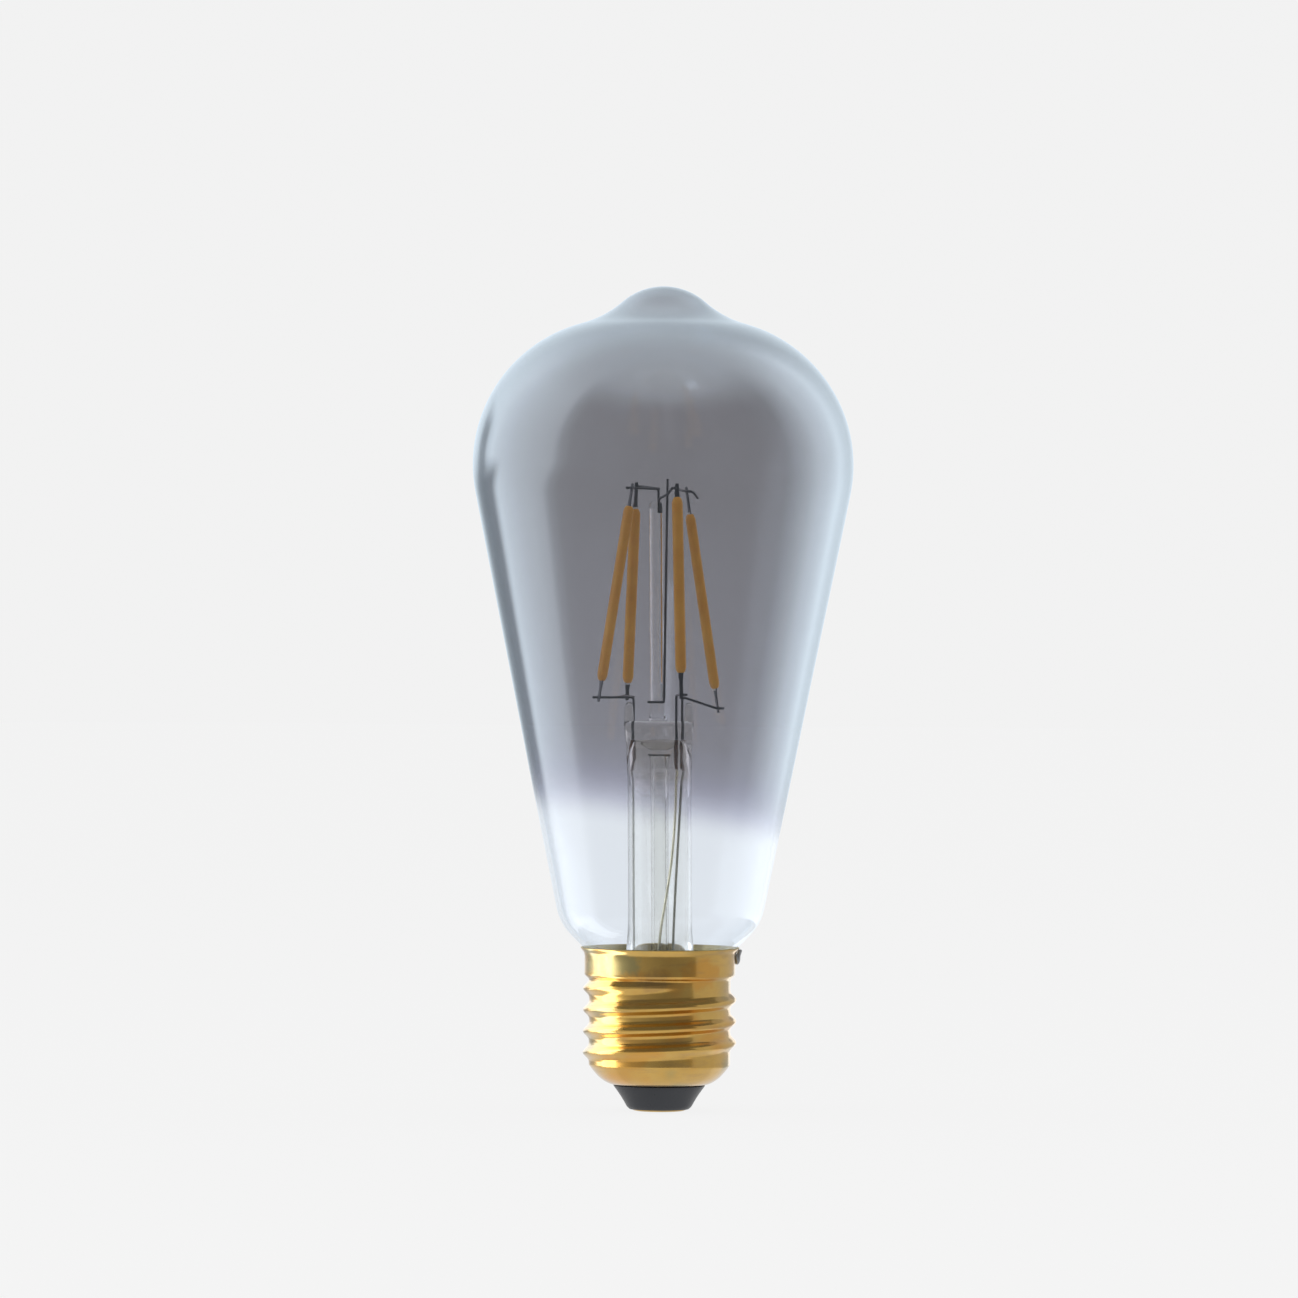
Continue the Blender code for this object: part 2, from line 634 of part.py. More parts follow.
def build_coat(name):
    """Phosphor silicone coat: a rounded bar with a slot right through it for the chip strip."""
    low, high, axis, outward, side = filament_frame(name)
    length = (high - low).length
    sides = 12
    sections = ((0.0, 0.72), (0.35, 1.0), (length - 0.35, 1.0), (length, 0.72))
    rings = []
    for along, scale in sections:
        half = (COAT_HALF[0] * scale, COAT_HALF[1] * scale)
        rings.append([(along, y, x) for x, y, _ in oval(half[0], half[1], 0.0, 2.6, sides, 0.0)])
    for along in (length, 0.0):
        half_x, half_y = COAT_SLOT_HALF
        rings.append([(along, y, x) for x, y, _ in oval(half_x, half_y, 0.0, 6.0, sides, 0.0)])
    rings = [placed(low, axis, outward, side, ring) for ring in rings]
    verts, faces = join_rings(rings, True)
    make_solid("phosphor_coat_" + name, verts, faces, "phosphor", 50.0)


def build_strip(name):
    """Carrier strip with a row of raised LED chips on its outward face."""
    low, high, axis, outward, side = filament_frame(name)
    length = (high - low).length
    start = -STRIP_OVERHANG
    end = length + STRIP_OVERHANG
    bottom = -STRIP_THICK / 2.0 - 0.08
    top = bottom + STRIP_THICK
    outline = [(start, bottom), (start, top)]
    pitch = length / CHIP_COUNT
    for chip in range(CHIP_COUNT):
        centre = pitch * (chip + 0.5)
        for dx, dy in ((-0.5, 0.0), (-0.5, CHIP_HEIGHT), (0.5, CHIP_HEIGHT), (0.5, 0.0)):
            outline.append((centre + dx * CHIP_LENGTH, top + dy))
    outline.extend([(end, top), (end, bottom)])
    rings = []
    for offset in (-STRIP_HALF_WIDTH, STRIP_HALF_WIDTH):
        ring = [(a, b, offset) for a, b in outline]
        rings.append(placed(low, axis, outward, side, ring))
    verts, faces = join_rings(rings, False)
    make_solid("chip_strip_" + name, verts, faces, "strip", 30.0)


def tab_frame(name, end_name):
    """Where a tab leaves its coated end, which way it runs, how far, and its two cross directions."""
    low, high, axis, outward, side = filament_frame(name)
    if end_name == "lower":
        reach = (low.z - TAB_END_Z[name][0]) / axis.z
        return low, -axis, reach, outward, side
    reach = (TAB_END_Z[name][1] - high.z) / axis.z
    return high, axis, reach, outward, side


def build_tab(name, end_name):
    """Flat metal end tab, welded to its wire."""
    origin, along, reach, outward, side = tab_frame(name, end_name)
    start = STRIP_OVERHANG + WELD_GAP
    wide = TAB_HALF_WIDTH + 0.1
    outline = (
        (start, wide), (start + 0.5, wide), (start + 0.7, TAB_HALF_WIDTH), (reach, TAB_HALF_WIDTH),
        (reach, -TAB_HALF_WIDTH), (start + 0.7, -TAB_HALF_WIDTH), (start + 0.5, -wide), (start, -wide),
    )
    rings = []
    for offset in (-TAB_HALF_THICK, TAB_HALF_THICK):
        ring = [(a, offset, c) for a, c in outline]
        rings.append(placed(origin, along, outward, side, ring))
    verts, faces = join_rings(rings, False)
    make_solid(end_name + "_tab_" + name, verts, faces, "tab_steel", 30.0)


def weld_path(name, end_name, toward):
    """The last stretch of a wire along the edge of a tab: a point before it and a point past it."""
    origin, along, reach, outward, side = tab_frame(name, end_name)
    middle = origin + along * (reach - WELD_FROM_TAB_END)
    if side.dot(Vector(toward) - middle) < 0.0:
        side = -side
    place = middle + side * (TAB_HALF_WIDTH + LEAD_RADIUS + WELD_GAP)
    radial = Vector((outward.x, outward.y, 0.0)).normalized()
    return place - radial * WELD_LEAD_IN, place + radial * WELD_TAIL


# ------------------------------------------------------------------ wires

def build_leads():
    """Three leads, each a tinned copper tail, a seal wire through the press and a nickel arm."""
    low, high = SEAL_Z
    for name, (x, y) in LEAD_PLACES.items():
        tail = [(x, y, low - WELD_GAP), (x, y, low - 1.5)] + list(LEAD_TAILS[name])
        wire("lead_tail_" + name, tail, LEAD_RADIUS, 8, "tinned_copper", bend=2.5)
        cylinder("seal_wire_" + name, SEAL_RADIUS, (x, y, low), (x, y, high), 8, "dumet")
        corner = (x, y, LEAD_POST_TOPS[name])
        beside, past = weld_path(LEAD_FOOT_FILAMENTS[name], "lower", corner)
        arm = [(x, y, high + WELD_GAP), corner, beside, past]
        wire("lead_arm_" + name, arm, LEAD_RADIUS, 8, "nickel", bend=0.6)


def build_cross_wire(name, filament, end_name, start):
    """Short wire welded beside another wire and run out to one filament tab."""
    beside, past = weld_path(filament, end_name, start)
    wire(name, [start, beside, past], LEAD_RADIUS, 8, "nickel", bend=0.5)


def build_top_wires():
    """Two wires anchored in the rod's top that hold the upper filament ends, and a short branch."""
    anchor_z = ROD_TOP[2] - ANCHOR_DEPTH
    bend_point = (*LEFT_ANCHOR, TOP_LEFT_BEND_Z)
    beside, past = weld_path("front_left", "upper", bend_point)
    left = [(*LEFT_ANCHOR, anchor_z), bend_point, beside, past]
    wire("top_wire_front_left", left, SUPPORT_RADIUS, 8, "nickel", bend=0.5)
    build_cross_wire("top_wire_back_left", "back_left", "upper", TOP_BACK_START)
    toward = TOP_RIGHT_BENDS[-1]
    front_beside, _ = weld_path("front_right", "upper", toward)
    back_beside, back_past = weld_path("back_right", "upper", toward)
    right = [(*RIGHT_ANCHOR, anchor_z), *TOP_RIGHT_BENDS, front_beside, back_beside, back_past, TOP_RIGHT_END]
    wire("top_wire_right", right, SUPPORT_RADIUS, 8, "nickel", bend=0.5)


def build_centre_support():
    """Stiff wire up beside the arbor rod, with a foot bent across the front of the rod."""
    wire("centre_support_wire", [SUPPORT_TOP, *SUPPORT_FOOT], SUPPORT_RADIUS, 8, "nickel", bend=0.6)


# ------------------------------------------------------------------ electronics in the cap

def build_driver_board():
    """Round circuit board with holes for the three leads."""
    edge = [(BOARD_RADIUS, z) for z in BOARD_Z]
    board = lathe("driver_board", edge, 32, "board", False)
    for tail in LEAD_TAILS.values():
        x, y, _ = tail[-1]
        drill = cylinder("drill", BOARD_HOLE_RADIUS, (x, y, 13.0), (x, y, 17.0), 8, "board")
        combine(board, drill, "DIFFERENCE")


def build_board_parts():
    """Components hanging under the board, inside the threaded part of the cap."""
    can = [(0.0, -7.2), (2.9, -7.2), (3.15, -6.9), (3.15, -0.9), (2.95, -0.6), (3.15, -0.3), (3.0, 0.0),
           (0.0, 0.0)]
    hang_lathe("bulk_capacitor", can, "capacitor", (-5.0, 4.0))
    drum = [(0.0, -5.6), (3.0, -5.6), (3.0, -4.6), (2.4, -4.4), (2.4, -1.2), (3.0, -1.0), (3.0, 0.0),
            (0.0, 0.0)]
    hang_lathe("inductor", drum, "ferrite", (4.6, 4.2))
    body = [(0.0, -5.5), (0.8, -5.5), (1.1, -5.2), (1.1, -4.4), (0.95, -4.2), (0.95, -1.3), (1.1, -1.1),
            (1.1, -0.3), (0.8, 0.0), (0.0, 0.0)]
    hang_lathe("fuse_resistor", body, "resistor", (8.1, -2.0))
    chip_half = (2.4, 1.95, 0.75)
    chip_z = PARTS_UNDER_Z - chip_half[2]
    box("bridge_rectifier", (-4.2, -6.4, chip_z), chip_half, "chip_black")
    box("driver_chip", (3.2, -6.6, chip_z), chip_half, "chip_black")
    build_radio_module()


def hang_lathe(name, profile, material_name, centre):
    """Round component under the board; heights are measured from the board's underside."""
    points = [(radius, PARTS_UNDER_Z + drop) for radius, drop in profile]
    lathe(name, points, 20, material_name, False, centre)


def build_radio_module():
    """Small wireless board standing on edge, with its shield can on one face."""
    half_length = 4.4
    board_y, can_y = (-3.4, -2.7), -4.3
    low, can_low, can_high = (PARTS_UNDER_Z - drop for drop in (6.6, 5.6, 1.6))
    outline = [(board_y[0], low), (board_y[1], low), (board_y[1], PARTS_UNDER_Z), (board_y[0], PARTS_UNDER_Z),
               (board_y[0], can_high + 0.2), (can_y, can_high), (can_y, can_low), (board_y[0], can_low - 0.2)]
    rings = [[(x, y, z) for y, z in outline] for x in (-half_length, half_length)]
    verts, faces = join_rings(rings, False)
    make_solid("radio_module", verts, faces, "module")


def build_cap_wires():
    """Live wire to the contact pin and neutral wire to the bead on the skirt."""
    live = [(0.0, 1.2, PARTS_UNDER_Z), (0.0, 1.2, 9.5), (0.0, 0.0, 7.6), (0.0, 0.0, PIN_TOP_Z + 0.1)]
    wire("live_wire", live, LIVE_WIRE_RADIUS, 10, "insulated_wire", bend=0.8)
    hole_z = SOLDER_CENTRE[1]
    neutral = [(9.4, 0.0, BOARD_Z[1] + 0.1), (9.7, 0.0, 16.8), (11.43, 0.0, 18.6), (11.43, 0.0, 23.0),
               (11.95, 0.0, 24.4), (11.95, 0.0, hole_z), (SKIRT_RADIUS - 0.05, 0.0, hole_z)]
    wire("neutral_wire", neutral, NEUTRAL_WIRE_RADIUS, 6, "tinned_copper", bend=0.3)


# ------------------------------------------------------------------ assembly

def scale_to_metres():
    for solid in bpy.data.objects:
        solid.data.transform(Matrix.Scale(MM, 4))


def build_bulb():
    clear_scene()
    build_envelope()
    build_screw_shell()
    build_insulator()
    build_centre_contact()
    build_cap_cement()
    build_side_solder()
    build_stem()
    build_exhaust_tube()
    build_arbor_rod()
    for name in FILAMENTS:
        build_coat(name)
        build_strip(name)
        build_tab(name, "lower")
        build_tab(name, "upper")
    build_leads()
    build_cross_wire("lower_cross_wire", "back_left", "lower", LOWER_CROSS_START)
    build_top_wires()
    build_centre_support()
    build_driver_board()
    build_board_parts()
    build_cap_wires()
    scale_to_metres()


build_bulb()
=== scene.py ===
"""Looks of the screw-cap LED filament bulb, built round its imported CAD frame.

Lengths below are millimetres in the part's frame: z = 0 at the centre contact, +Z to the glass tip,
the viewer looks along +Y. Meshes are scaled to metres when they are made.
"""

import math

import bmesh
import bpy
from mathutils import Matrix, Vector, noise


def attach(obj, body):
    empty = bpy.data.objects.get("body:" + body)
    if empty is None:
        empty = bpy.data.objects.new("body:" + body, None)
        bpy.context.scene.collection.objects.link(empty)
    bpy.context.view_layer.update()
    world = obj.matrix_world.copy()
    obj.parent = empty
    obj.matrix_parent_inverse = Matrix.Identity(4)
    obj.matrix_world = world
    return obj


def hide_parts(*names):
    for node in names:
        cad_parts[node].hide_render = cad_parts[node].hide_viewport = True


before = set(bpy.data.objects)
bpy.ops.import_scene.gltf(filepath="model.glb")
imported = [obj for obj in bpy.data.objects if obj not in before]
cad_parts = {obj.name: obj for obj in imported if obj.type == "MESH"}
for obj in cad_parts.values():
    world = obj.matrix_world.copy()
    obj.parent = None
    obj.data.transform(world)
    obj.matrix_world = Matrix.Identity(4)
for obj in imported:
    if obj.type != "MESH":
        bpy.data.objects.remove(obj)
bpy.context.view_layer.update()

MM = 0.001
TAU = 2.0 * math.pi

# ---- glass envelope ----
TIP_Z = 140.0
WALL = 0.8
# Tangent walk down the outside: arc radius (None for a straight line, negative where it bends back), the
# turn in degrees or the length, and the number of sub-divisions.
ENVELOPE_WALK = (
    (10.7, 41.3, 10),  # tip
    (-17.5, 26.1, 8),  # saddle under the tip
    (24.8, 86.2, 30),  # shoulder
    (None, 71.58, 26),  # long cone
    (9.5, 33.6, 8),  # heel
    (None, 4.5, 3),  # throat
    (-2.2, 45.0, 6),  # bend into the neck
    (None, 5.2, 3),  # neck
)
ENVELOPE_SIDES = 144
ENVELOPE_WAVINESS = 0.035
WAVE_SCALE = 0.045
RIM_STEPS = 6

# ---- E27 screw shell ----
THREAD_PITCH = 3.629
THREAD_ROOT = 12.0
THREAD_DEPTH = 1.05
THREAD_SHARPNESS = 1.5
THREAD_START_Z = 8.05
THREAD_FADE_IN = 120.0
THREAD_FADE_OUT_FROM = 1260.0
THREAD_FADE_OUT_TO = 1400.0
THREAD_TURNS = range(-1, 6)
THREAD_BLEND = 0.12
ROWS_PER_PITCH = 18
SHEET = 0.35
DENT_DEPTH = 0.03
DENT_SCALE = (2.2, 2.2, 0.22)
SKIRT_RADIUS = 12.85
SKIRT_STEP_Z = (22.1, 23.3)
SKIRT_TOP_Z = 26.4
LIP_RADIUS = 13.5
LIP_Z = 27.75
SHELL_BOTTOM = ((7.5, 4.45), (8.2, 4.55), (9.0, 4.85), (10.0, 5.5), (11.0, 6.5), (11.75, 7.5))
SHELL_SIDES = 180

# ---- insulator and contacts, as (radius, height) profiles ----
CONTACT_RADIUS = 4.65
CONTACT_THICK = 0.6
PIN_RADIUS = 0.75
PIN_TOP_Z = 6.5
INSULATOR_BORE = PIN_RADIUS + 0.1
INSULATOR_SEAT = CONTACT_RADIUS + 0.1
INSULATOR_PROFILE = (
    (INSULATOR_BORE, CONTACT_THICK + 0.1), (INSULATOR_SEAT, CONTACT_THICK + 0.1), (INSULATOR_SEAT, 0.4),
    (5.0, 0.3), (5.5, 0.75), (5.85, 1.4), (6.5, 2.5), (7.2, 3.5), (7.85, 4.4), (7.4, 4.42), (7.4, 4.9),
    (8.4, 5.05), (8.3, 5.9), (6.6, 6.2), (2.2, 5.4), (INSULATOR_BORE, 5.4),
)
CONTACT_PROFILE = (
    (0.0, 0.0), (1.9, 0.0), (2.2, 0.09), (2.5, 0.0), (4.0, 0.02), (4.45, 0.12), (CONTACT_RADIUS, 0.36),
    (CONTACT_RADIUS - 0.08, CONTACT_THICK), (PIN_RADIUS + 0.2, CONTACT_THICK),
    (PIN_RADIUS, CONTACT_THICK + 0.2), (PIN_RADIUS, PIN_TOP_Z - 0.2), (PIN_RADIUS - 0.2, PIN_TOP_Z),
    (0.0, PIN_TOP_Z),
)
SOLDER_CENTRE = (13.1, 26.2)
SOLDER_HALF = (0.62, 0.9, 1.3)
SOLDER_LUMPS = 0.22
CAP_PART_SIDES = 96

# ---- glass mount: it leans a little to the left as it rises ----
LEAN_X = -0.42
LEAN_FROM_Z = 20.0
STEM_RADIUS = 5.45
STEM_BORE = STEM_RADIUS - 0.6
STEM_SIDES = 72
PRESS_HALF_WIDTH = 5.75
PRESS_HALF_THICK = 1.9
PRESS_TOP_Z = 66.2
PRESS_ROOF_Z = 61.0
PRESS_EDGE = 0.8
PRESS_SQUARENESS = 4.0
# Sections of the stem and its horns are (half width, half thickness, height, squareness), from below up.
STEM_OUTSIDE = (
    (10.25, 10.25, 19.7, 2.0), (9.3, 9.3, 21.2, 2.0), (7.4, 7.4, 23.4, 2.0), (6.1, 6.1, 26.0, 2.0),
    (5.6, 5.6, 29.0, 2.0), (STEM_RADIUS, STEM_RADIUS, 33.0, 2.0), (STEM_RADIUS, STEM_RADIUS, 45.0, 2.0),
    (STEM_RADIUS, STEM_RADIUS, 56.0, 2.0), (5.55, 4.7, 58.4, 2.1), (5.6, 3.2, 60.4, 2.5),
    (5.65, 2.2, 62.0, 3.2), (PRESS_HALF_WIDTH, PRESS_HALF_THICK, 63.4, PRESS_SQUARENESS),
    (PRESS_HALF_WIDTH, PRESS_HALF_THICK, PRESS_TOP_Z - PRESS_EDGE, PRESS_SQUARENESS),
)
STEM_INSIDE = (
    (9.5, 9.5, 19.75, 2.0), (8.7, 8.7, 20.9, 2.0), (6.7, 6.7, 23.4, 2.0), (5.3, 5.3, 26.2, 2.0),
    (4.8, 4.8, 29.0, 2.0), (STEM_BORE, STEM_BORE, 33.0, 2.0), (STEM_BORE, STEM_BORE, 45.0, 2.0),
    (STEM_BORE, STEM_BORE, 55.0, 2.0), (STEM_BORE, 4.3, 57.2, 2.0), (4.7, 3.3, 59.2, 2.2),
    (4.65, 2.1, 60.9, 2.4), (4.4, 1.3, 62.3, 2.8), (4.0, 0.95, 62.9, 3.0), (3.5, 0.8, 62.7, 3.0),
    (2.6, 0.6, 61.8, 2.6), (1.5, 0.35, 61.15, 2.3), (0.4, 0.12, PRESS_ROOF_Z, 2.0),
)
PINCH_Z = (57.0, 66.4)
PINCH_RIPPLE = 0.28
RIPPLE_SCALE = (0.75, 0.75, 0.6)
HORNS = ((-5.5, 0.0), (4.65, 0.3))
HORN_SIDES = 40
HORN_TOP_Z = 69.3
HORN_SECTIONS = (
    (0.4, 0.6, PRESS_TOP_Z - 4.0, 2.0), (0.68, 0.9, PRESS_TOP_Z - 2.6, 2.0),
    (0.86, 1.1, PRESS_TOP_Z - 0.6, 2.0), (0.86, 1.1, PRESS_TOP_Z + 0.4, 2.0),
    (0.8, 0.95, PRESS_TOP_Z + 1.4, 2.0), (0.72, 0.8, HORN_TOP_Z - 0.7, 2.0),
    (0.5, 0.5, HORN_TOP_Z - 0.15, 2.0), (0.2, 0.2, HORN_TOP_Z, 2.0),
)
EASED_SECTIONS = 4
EXHAUST_RADIUS = 1.5
EXHAUST_BORE = 1.0
# The tube's two shaped ends are (radius, height over the tip) and (radius, height under the top).
EXHAUST_TIP_Z = 17.4
EXHAUST_TIP = ((0.0, 0.0), (0.35, 0.08), (0.7, 0.45), (1.15, 1.5), (1.42, 2.8), (EXHAUST_RADIUS, 4.5))
EXHAUST_TIP_INSIDE = ((0.75, 3.2), (0.3, 2.1), (0.0, 1.8))
EXHAUST_TOP_Z = 60.4
EXHAUST_FLARE = (
    (1.53, 2.2), (1.6, 1.4), (1.75, 0.7), (1.95, 0.2), (2.0, 0.06), (1.9, 0.0), (1.5, 0.05), (1.15, 0.4),
    (EXHAUST_BORE, 1.0),
)
EXHAUST_BORE_END = 4.8
EXHAUST_STRAIGHT_END = 3.2
TUBE_STEPS = 12
ROD_RADIUS = 1.15
ROD_FOOT = (-0.7, 0.0, 66.25)
ROD_TOP = (-1.2, 0.0, 103.5)
ROD_FOOT_PROFILE = ((0.0, 0.0), (1.6, 0.0), (1.5, 0.25), (1.3, 0.8), (1.19, 1.6))
ROD_TOP_PROFILE = ((ROD_RADIUS, 1.0), (1.08, 0.5), (0.82, 0.13), (0.4, 0.0), (0.0, 0.0))
ROD_WAVINESS = 0.02
TURNED_GLASS_SIDES = 40

# ---- wires: three leads through the press, and the wires above it ----
WIRE_RADIUS = 0.22
WIRE_SIDES = 14
WIRE_BLUNT = 0.35
WIRE_BEND_STEPS = 6
LONGEST_CUT = 0.48
SEAL_RADIUS = 0.3
SEAL_Z = (57.7, 63.0)
# Leads: place in the press, height of the post's corner, filament at its foot, tail finish and tail path.
LEADS = {
    "common": ((-4.75, 0.0), 70.2, "front_left", "tinned_copper_wire",
               ((-4.74, 0.0, 52.0), (-4.52, 0.0, 29.0), (-4.2, 0.0, 14.7))),
    # The front tail wears a lighter copy of the tinned copper wire: its lighter tone is painted light.
    "front": ((2.5, -0.7), 70.6, "front_right", "tinned_wire_painted_lit",
              ((2.4, -1.9, 50.0), (1.8, -2.6, 42.0), (0.9, -2.8, 36.0), (0.0, -2.8, 30.5),
               (-0.45, -2.6, 24.0), (0.1, -2.4, 14.7))),
    "right": ((3.5, 0.5), 70.3, "back_right", "tinned_copper_wire",
              ((3.1, 0.5, 48.0), (2.55, 0.5, 37.5), (2.2, 0.5, 28.0), (2.3, 0.5, 14.7))),
}
LOWER_CROSS_START = (-4.75, 0.55, 70.2)
LEFT_ANCHOR = (-0.75, 0.35)
RIGHT_ANCHOR = (-0.75, -0.45)
ANCHOR_DEPTH = 2.0
TOP_LEFT_BEND_Z = 105.6
TOP_BACK_START = (-0.55, 0.88, 105.6)
TOP_RIGHT_BENDS = ((-0.72, -0.5, 103.9), (0.9, -2.4, 104.7))
TOP_RIGHT_END = (6.0, 4.6, 104.1)
SUPPORT_TOP = (0.78, -0.3, 107.3)
SUPPORT_FOOT = ((0.4, -1.06, 69.5), (0.3, -1.45, 69.4), (-2.4, -1.5, 69.4))

# ---- LED filaments: the two ends of the coated part, and how far down and up the end tabs reach ----
FILAMENTS = {
    "front_left": ((-10.2, -4.9, 73.0), (-5.7, -3.9, 102.6), 69.4, 106.4),
    "back_left": ((-5.8, 9.3, 72.6), (-4.7, 4.9, 102.3), 69.6, 106.8),
    "front_right": ((3.2, -9.8, 74.4), (2.4, -5.4, 104.1), 70.0, 106.4),
    "back_right": ((9.1, 4.1, 71.7), (4.6, 3.4, 101.4), 67.6, 106.0),
}
FILAMENT_CENTRE_X = -0.7
COAT_HALF = (0.9, 0.78)
COAT_SQUARENESS = 2.5
COAT_SIDES = 32
COAT_END_STATIONS = (0.0, 0.06, 0.18, 0.36, 0.6, 0.95)
COAT_MIDDLE_FROM = 1.4
COAT_MIDDLE_STEPS = 60
COAT_LUMPS = 0.025
STRIP_HALF_WIDTH = 0.42
STRIP_BOTTOM = -0.23
STRIP_THICK = 0.3
STRIP_OVERHANG = 0.3
CHIP_COUNT = 28
CHIP_OUTLINE = ((-0.28, 0.0), (-0.26, 0.12), (0.26, 0.12), (0.28, 0.0))
TAB_HALF_WIDTH = 0.34
TAB_HALF_THICK = 0.11
TAB_ROOT_EXTRA = 0.1
TAB_START = -0.5
WELD_FROM_TAB_END = 0.75
WELD_LEAD_IN = 0.6
WELD_TAIL = 0.85
WELD_GAP = 0.05
WELD_HALF = (0.3, 0.3, 0.26)

# ---- brass tarnish, lacquer, the grey coat and the mount's glass ----
OLIVE_TARNISH = (0.46, 0.42, 0.17, 1.0)
ORANGE_TARNISH = (0.84, 0.40, 0.04, 1.0)
BROWN_TARNISH = (0.60, 0.34, 0.08, 1.0)
STAINS = (
    ((-6.4, -10.5, 25.4), 4.2, OLIVE_TARNISH),
    ((7.0, -10.1, 23.6), 4.4, ORANGE_TARNISH),
    ((-0.6, -12.3, 22.4), 3.6, BROWN_TARNISH),
    ((5.5, 10.9, 24.6), 4.0, ORANGE_TARNISH),
    ((-12.0, 2.4, 23.8), 3.4, OLIVE_TARNISH),
)
STAIN_SQUASH = (1.0, 1.0, 1.6)
BRASS_TONES = ((0.90, 0.56, 0.12, 1.0), (0.78, 0.46, 0.08, 1.0))
WORN_TONE = (0.52, 0.32, 0.12, 1.0)
LACQUER_WEIGHT = 1.0
LACQUER_ROUGHNESS = 0.1
LACQUER_IOR = 1.65
COAT_HEIGHT_STOPS = (
    (0.0, 0.0), (47.5, 0.0), (49.0, 0.06), (50.5, 0.19), (51.5, 0.31), (52.8, 0.44), (54.0, 0.55),
    (55.5, 0.66), (57.6, 0.76), (59.8, 0.83), (63.5, 0.90), (75.0, 0.945), (90.0, 0.965), (106.0, 1.0),
)
COAT_TILT = 0.13
COAT_TINT_STOPS = (
    (0.0, (0.94, 0.968, 1.0)), (0.35, (0.765, 0.78, 0.85)), (0.7, (0.595, 0.6, 0.665)),
    (0.9, (0.528, 0.525, 0.56)), (1.0, (0.475, 0.468, 0.488)),
)
COAT_OBLIQUE = (0.16, 0.175, 0.20, 1.0)
COAT_SHEEN = (0.78, 0.90, 1.0, 1.0)
MOUNT_CLEAR = (0.975, 0.975, 0.96, 1.0)
MOUNT_EDGE = (0.34, 0.35, 0.33, 1.0)
MOUNT_STAIN = (0.84, 0.82, 0.77, 1.0)
PINCH_STAIN_Z = (52.0, 60.0)
GLASS_IOR = 1.5
PHOSPHOR_TONES = ((0.74, 0.35, 0.035, 1.0), (0.84, 0.44, 0.06, 1.0))
FACING_BLEND = 0.5
# Mirror share of a glass face: power and gain of its rise towards the edge, and the share straight on.
COAT_MIRROR = (3.0, 0.95, 0.105)
BARE_MIRROR = (5.0, 0.8, 0.03)
INNER_MIRROR = (5.0, 0.5, 0.014)
INNER_TINTS = ((0.992, 0.995, 1.0, 1.0), (0.9, 0.92, 0.94, 1.0))
BARE_SHEEN = (0.95, 0.98, 1.0, 1.0)

# Plain finishes: colour, metallic, roughness, speckle, noise scale, bump in millimetres and, where it isn't
# the usual one, specular level.
PLAIN_FINISHES = {
    # Duller, rougher inside of the shell; its darker tone, from the top of the lip inward, is painted shade.
    "dull_brass_and_painted_shade": ((0.40, 0.31, 0.13), 1.0, 0.5, 0.15, 700.0, 0.02),
    "black_vitrite": ((0.035, 0.037, 0.042), 0.0, 0.3, 0.2, 400.0, 0.02, 0.3),
    "tin_solder": ((0.50, 0.51, 0.52), 1.0, 0.38, 0.15, 1500.0, 0.03),
    "capping_cement": ((0.62, 0.58, 0.50), 0.0, 0.9, 0.12, 1200.0, 0.06),
    "nickel_wire": ((0.17, 0.17, 0.18), 1.0, 0.34, 0.12, 2500.0, 0.01),
    "seal_wire": ((0.17, 0.10, 0.07), 1.0, 0.4, 0.2, 2500.0, 0.01),
    "tinned_copper_wire": ((0.24, 0.235, 0.19), 1.0, 0.36, 0.15, 2500.0, 0.01),
    # Lit copy of the tinned copper wire, worn by the front tail: its lighter tone is painted light.
    "tinned_wire_painted_lit": ((0.56, 0.53, 0.40), 1.0, 0.3, 0.12, 2500.0, 0.01),
    "ceramic_strip": ((0.70, 0.70, 0.67), 0.0, 0.45, 0.06, 2500.0, 0.01),
    "plated_tab": ((0.18, 0.18, 0.19), 1.0, 0.36, 0.15, 2500.0, 0.01),
    "circuit_board": ((0.05, 0.20, 0.10), 0.0, 0.45, 0.15, 900.0, 0.02),
    "capacitor_sleeve": ((0.05, 0.06, 0.10), 0.0, 0.3, 0.1, 700.0, 0.01),
    "ferrite_core": ((0.09, 0.09, 0.09), 0.0, 0.6, 0.15, 1500.0, 0.03),
    "chip_package": ((0.03, 0.03, 0.032), 0.0, 0.5, 0.2, 2000.0, 0.02),
    "radio_board": ((0.04, 0.08, 0.18), 0.0, 0.45, 0.15, 900.0, 0.02),
    "resistor_coat": ((0.18, 0.40, 0.28), 0.0, 0.5, 0.1, 1500.0, 0.03),
    "red_insulation": ((0.50, 0.05, 0.04), 0.0, 0.4, 0.08, 900.0, 0.01),
}
KEPT_NODES = {
    "cap_cement": "capping_cement", "driver_board": "circuit_board", "bulk_capacitor": "capacitor_sleeve",
    "inductor": "ferrite_core", "fuse_resistor": "resistor_coat", "bridge_rectifier": "chip_package",
    "driver_chip": "chip_package", "radio_module": "radio_board", "live_wire": "red_insulation",
    "neutral_wire": "tinned_copper_wire",
}

# ---- stage and camera ----
BACKDROP_GREY = 0.887
FLOOR_GLOW = 0.865
FLOOR_GREY = 0.02
FLOOR_RADIUS = 6.0
CAMERA_DISTANCE = 1200.0
CAMERA_X = -2.2
CAMERA_Z = 78.4
CAMERA_ROLL = -0.36
VIEW_HALF_WIDTH = 110.2
SENSOR_WIDTH = 36.0
# Lamps: place and size in metres, power in watts.
LAMPS = {
    "soft_left": ((-0.8, -0.3, 0.5), (0.8, 0.8), 4.0),
    "soft_right": ((0.8, -0.2, 0.5), (0.8, 0.8), 4.0),
    "soft_front": ((0.0, -1.0, 0.7), (0.8, 0.5), 6.0),
}
WORLD_PEAK = 3.0
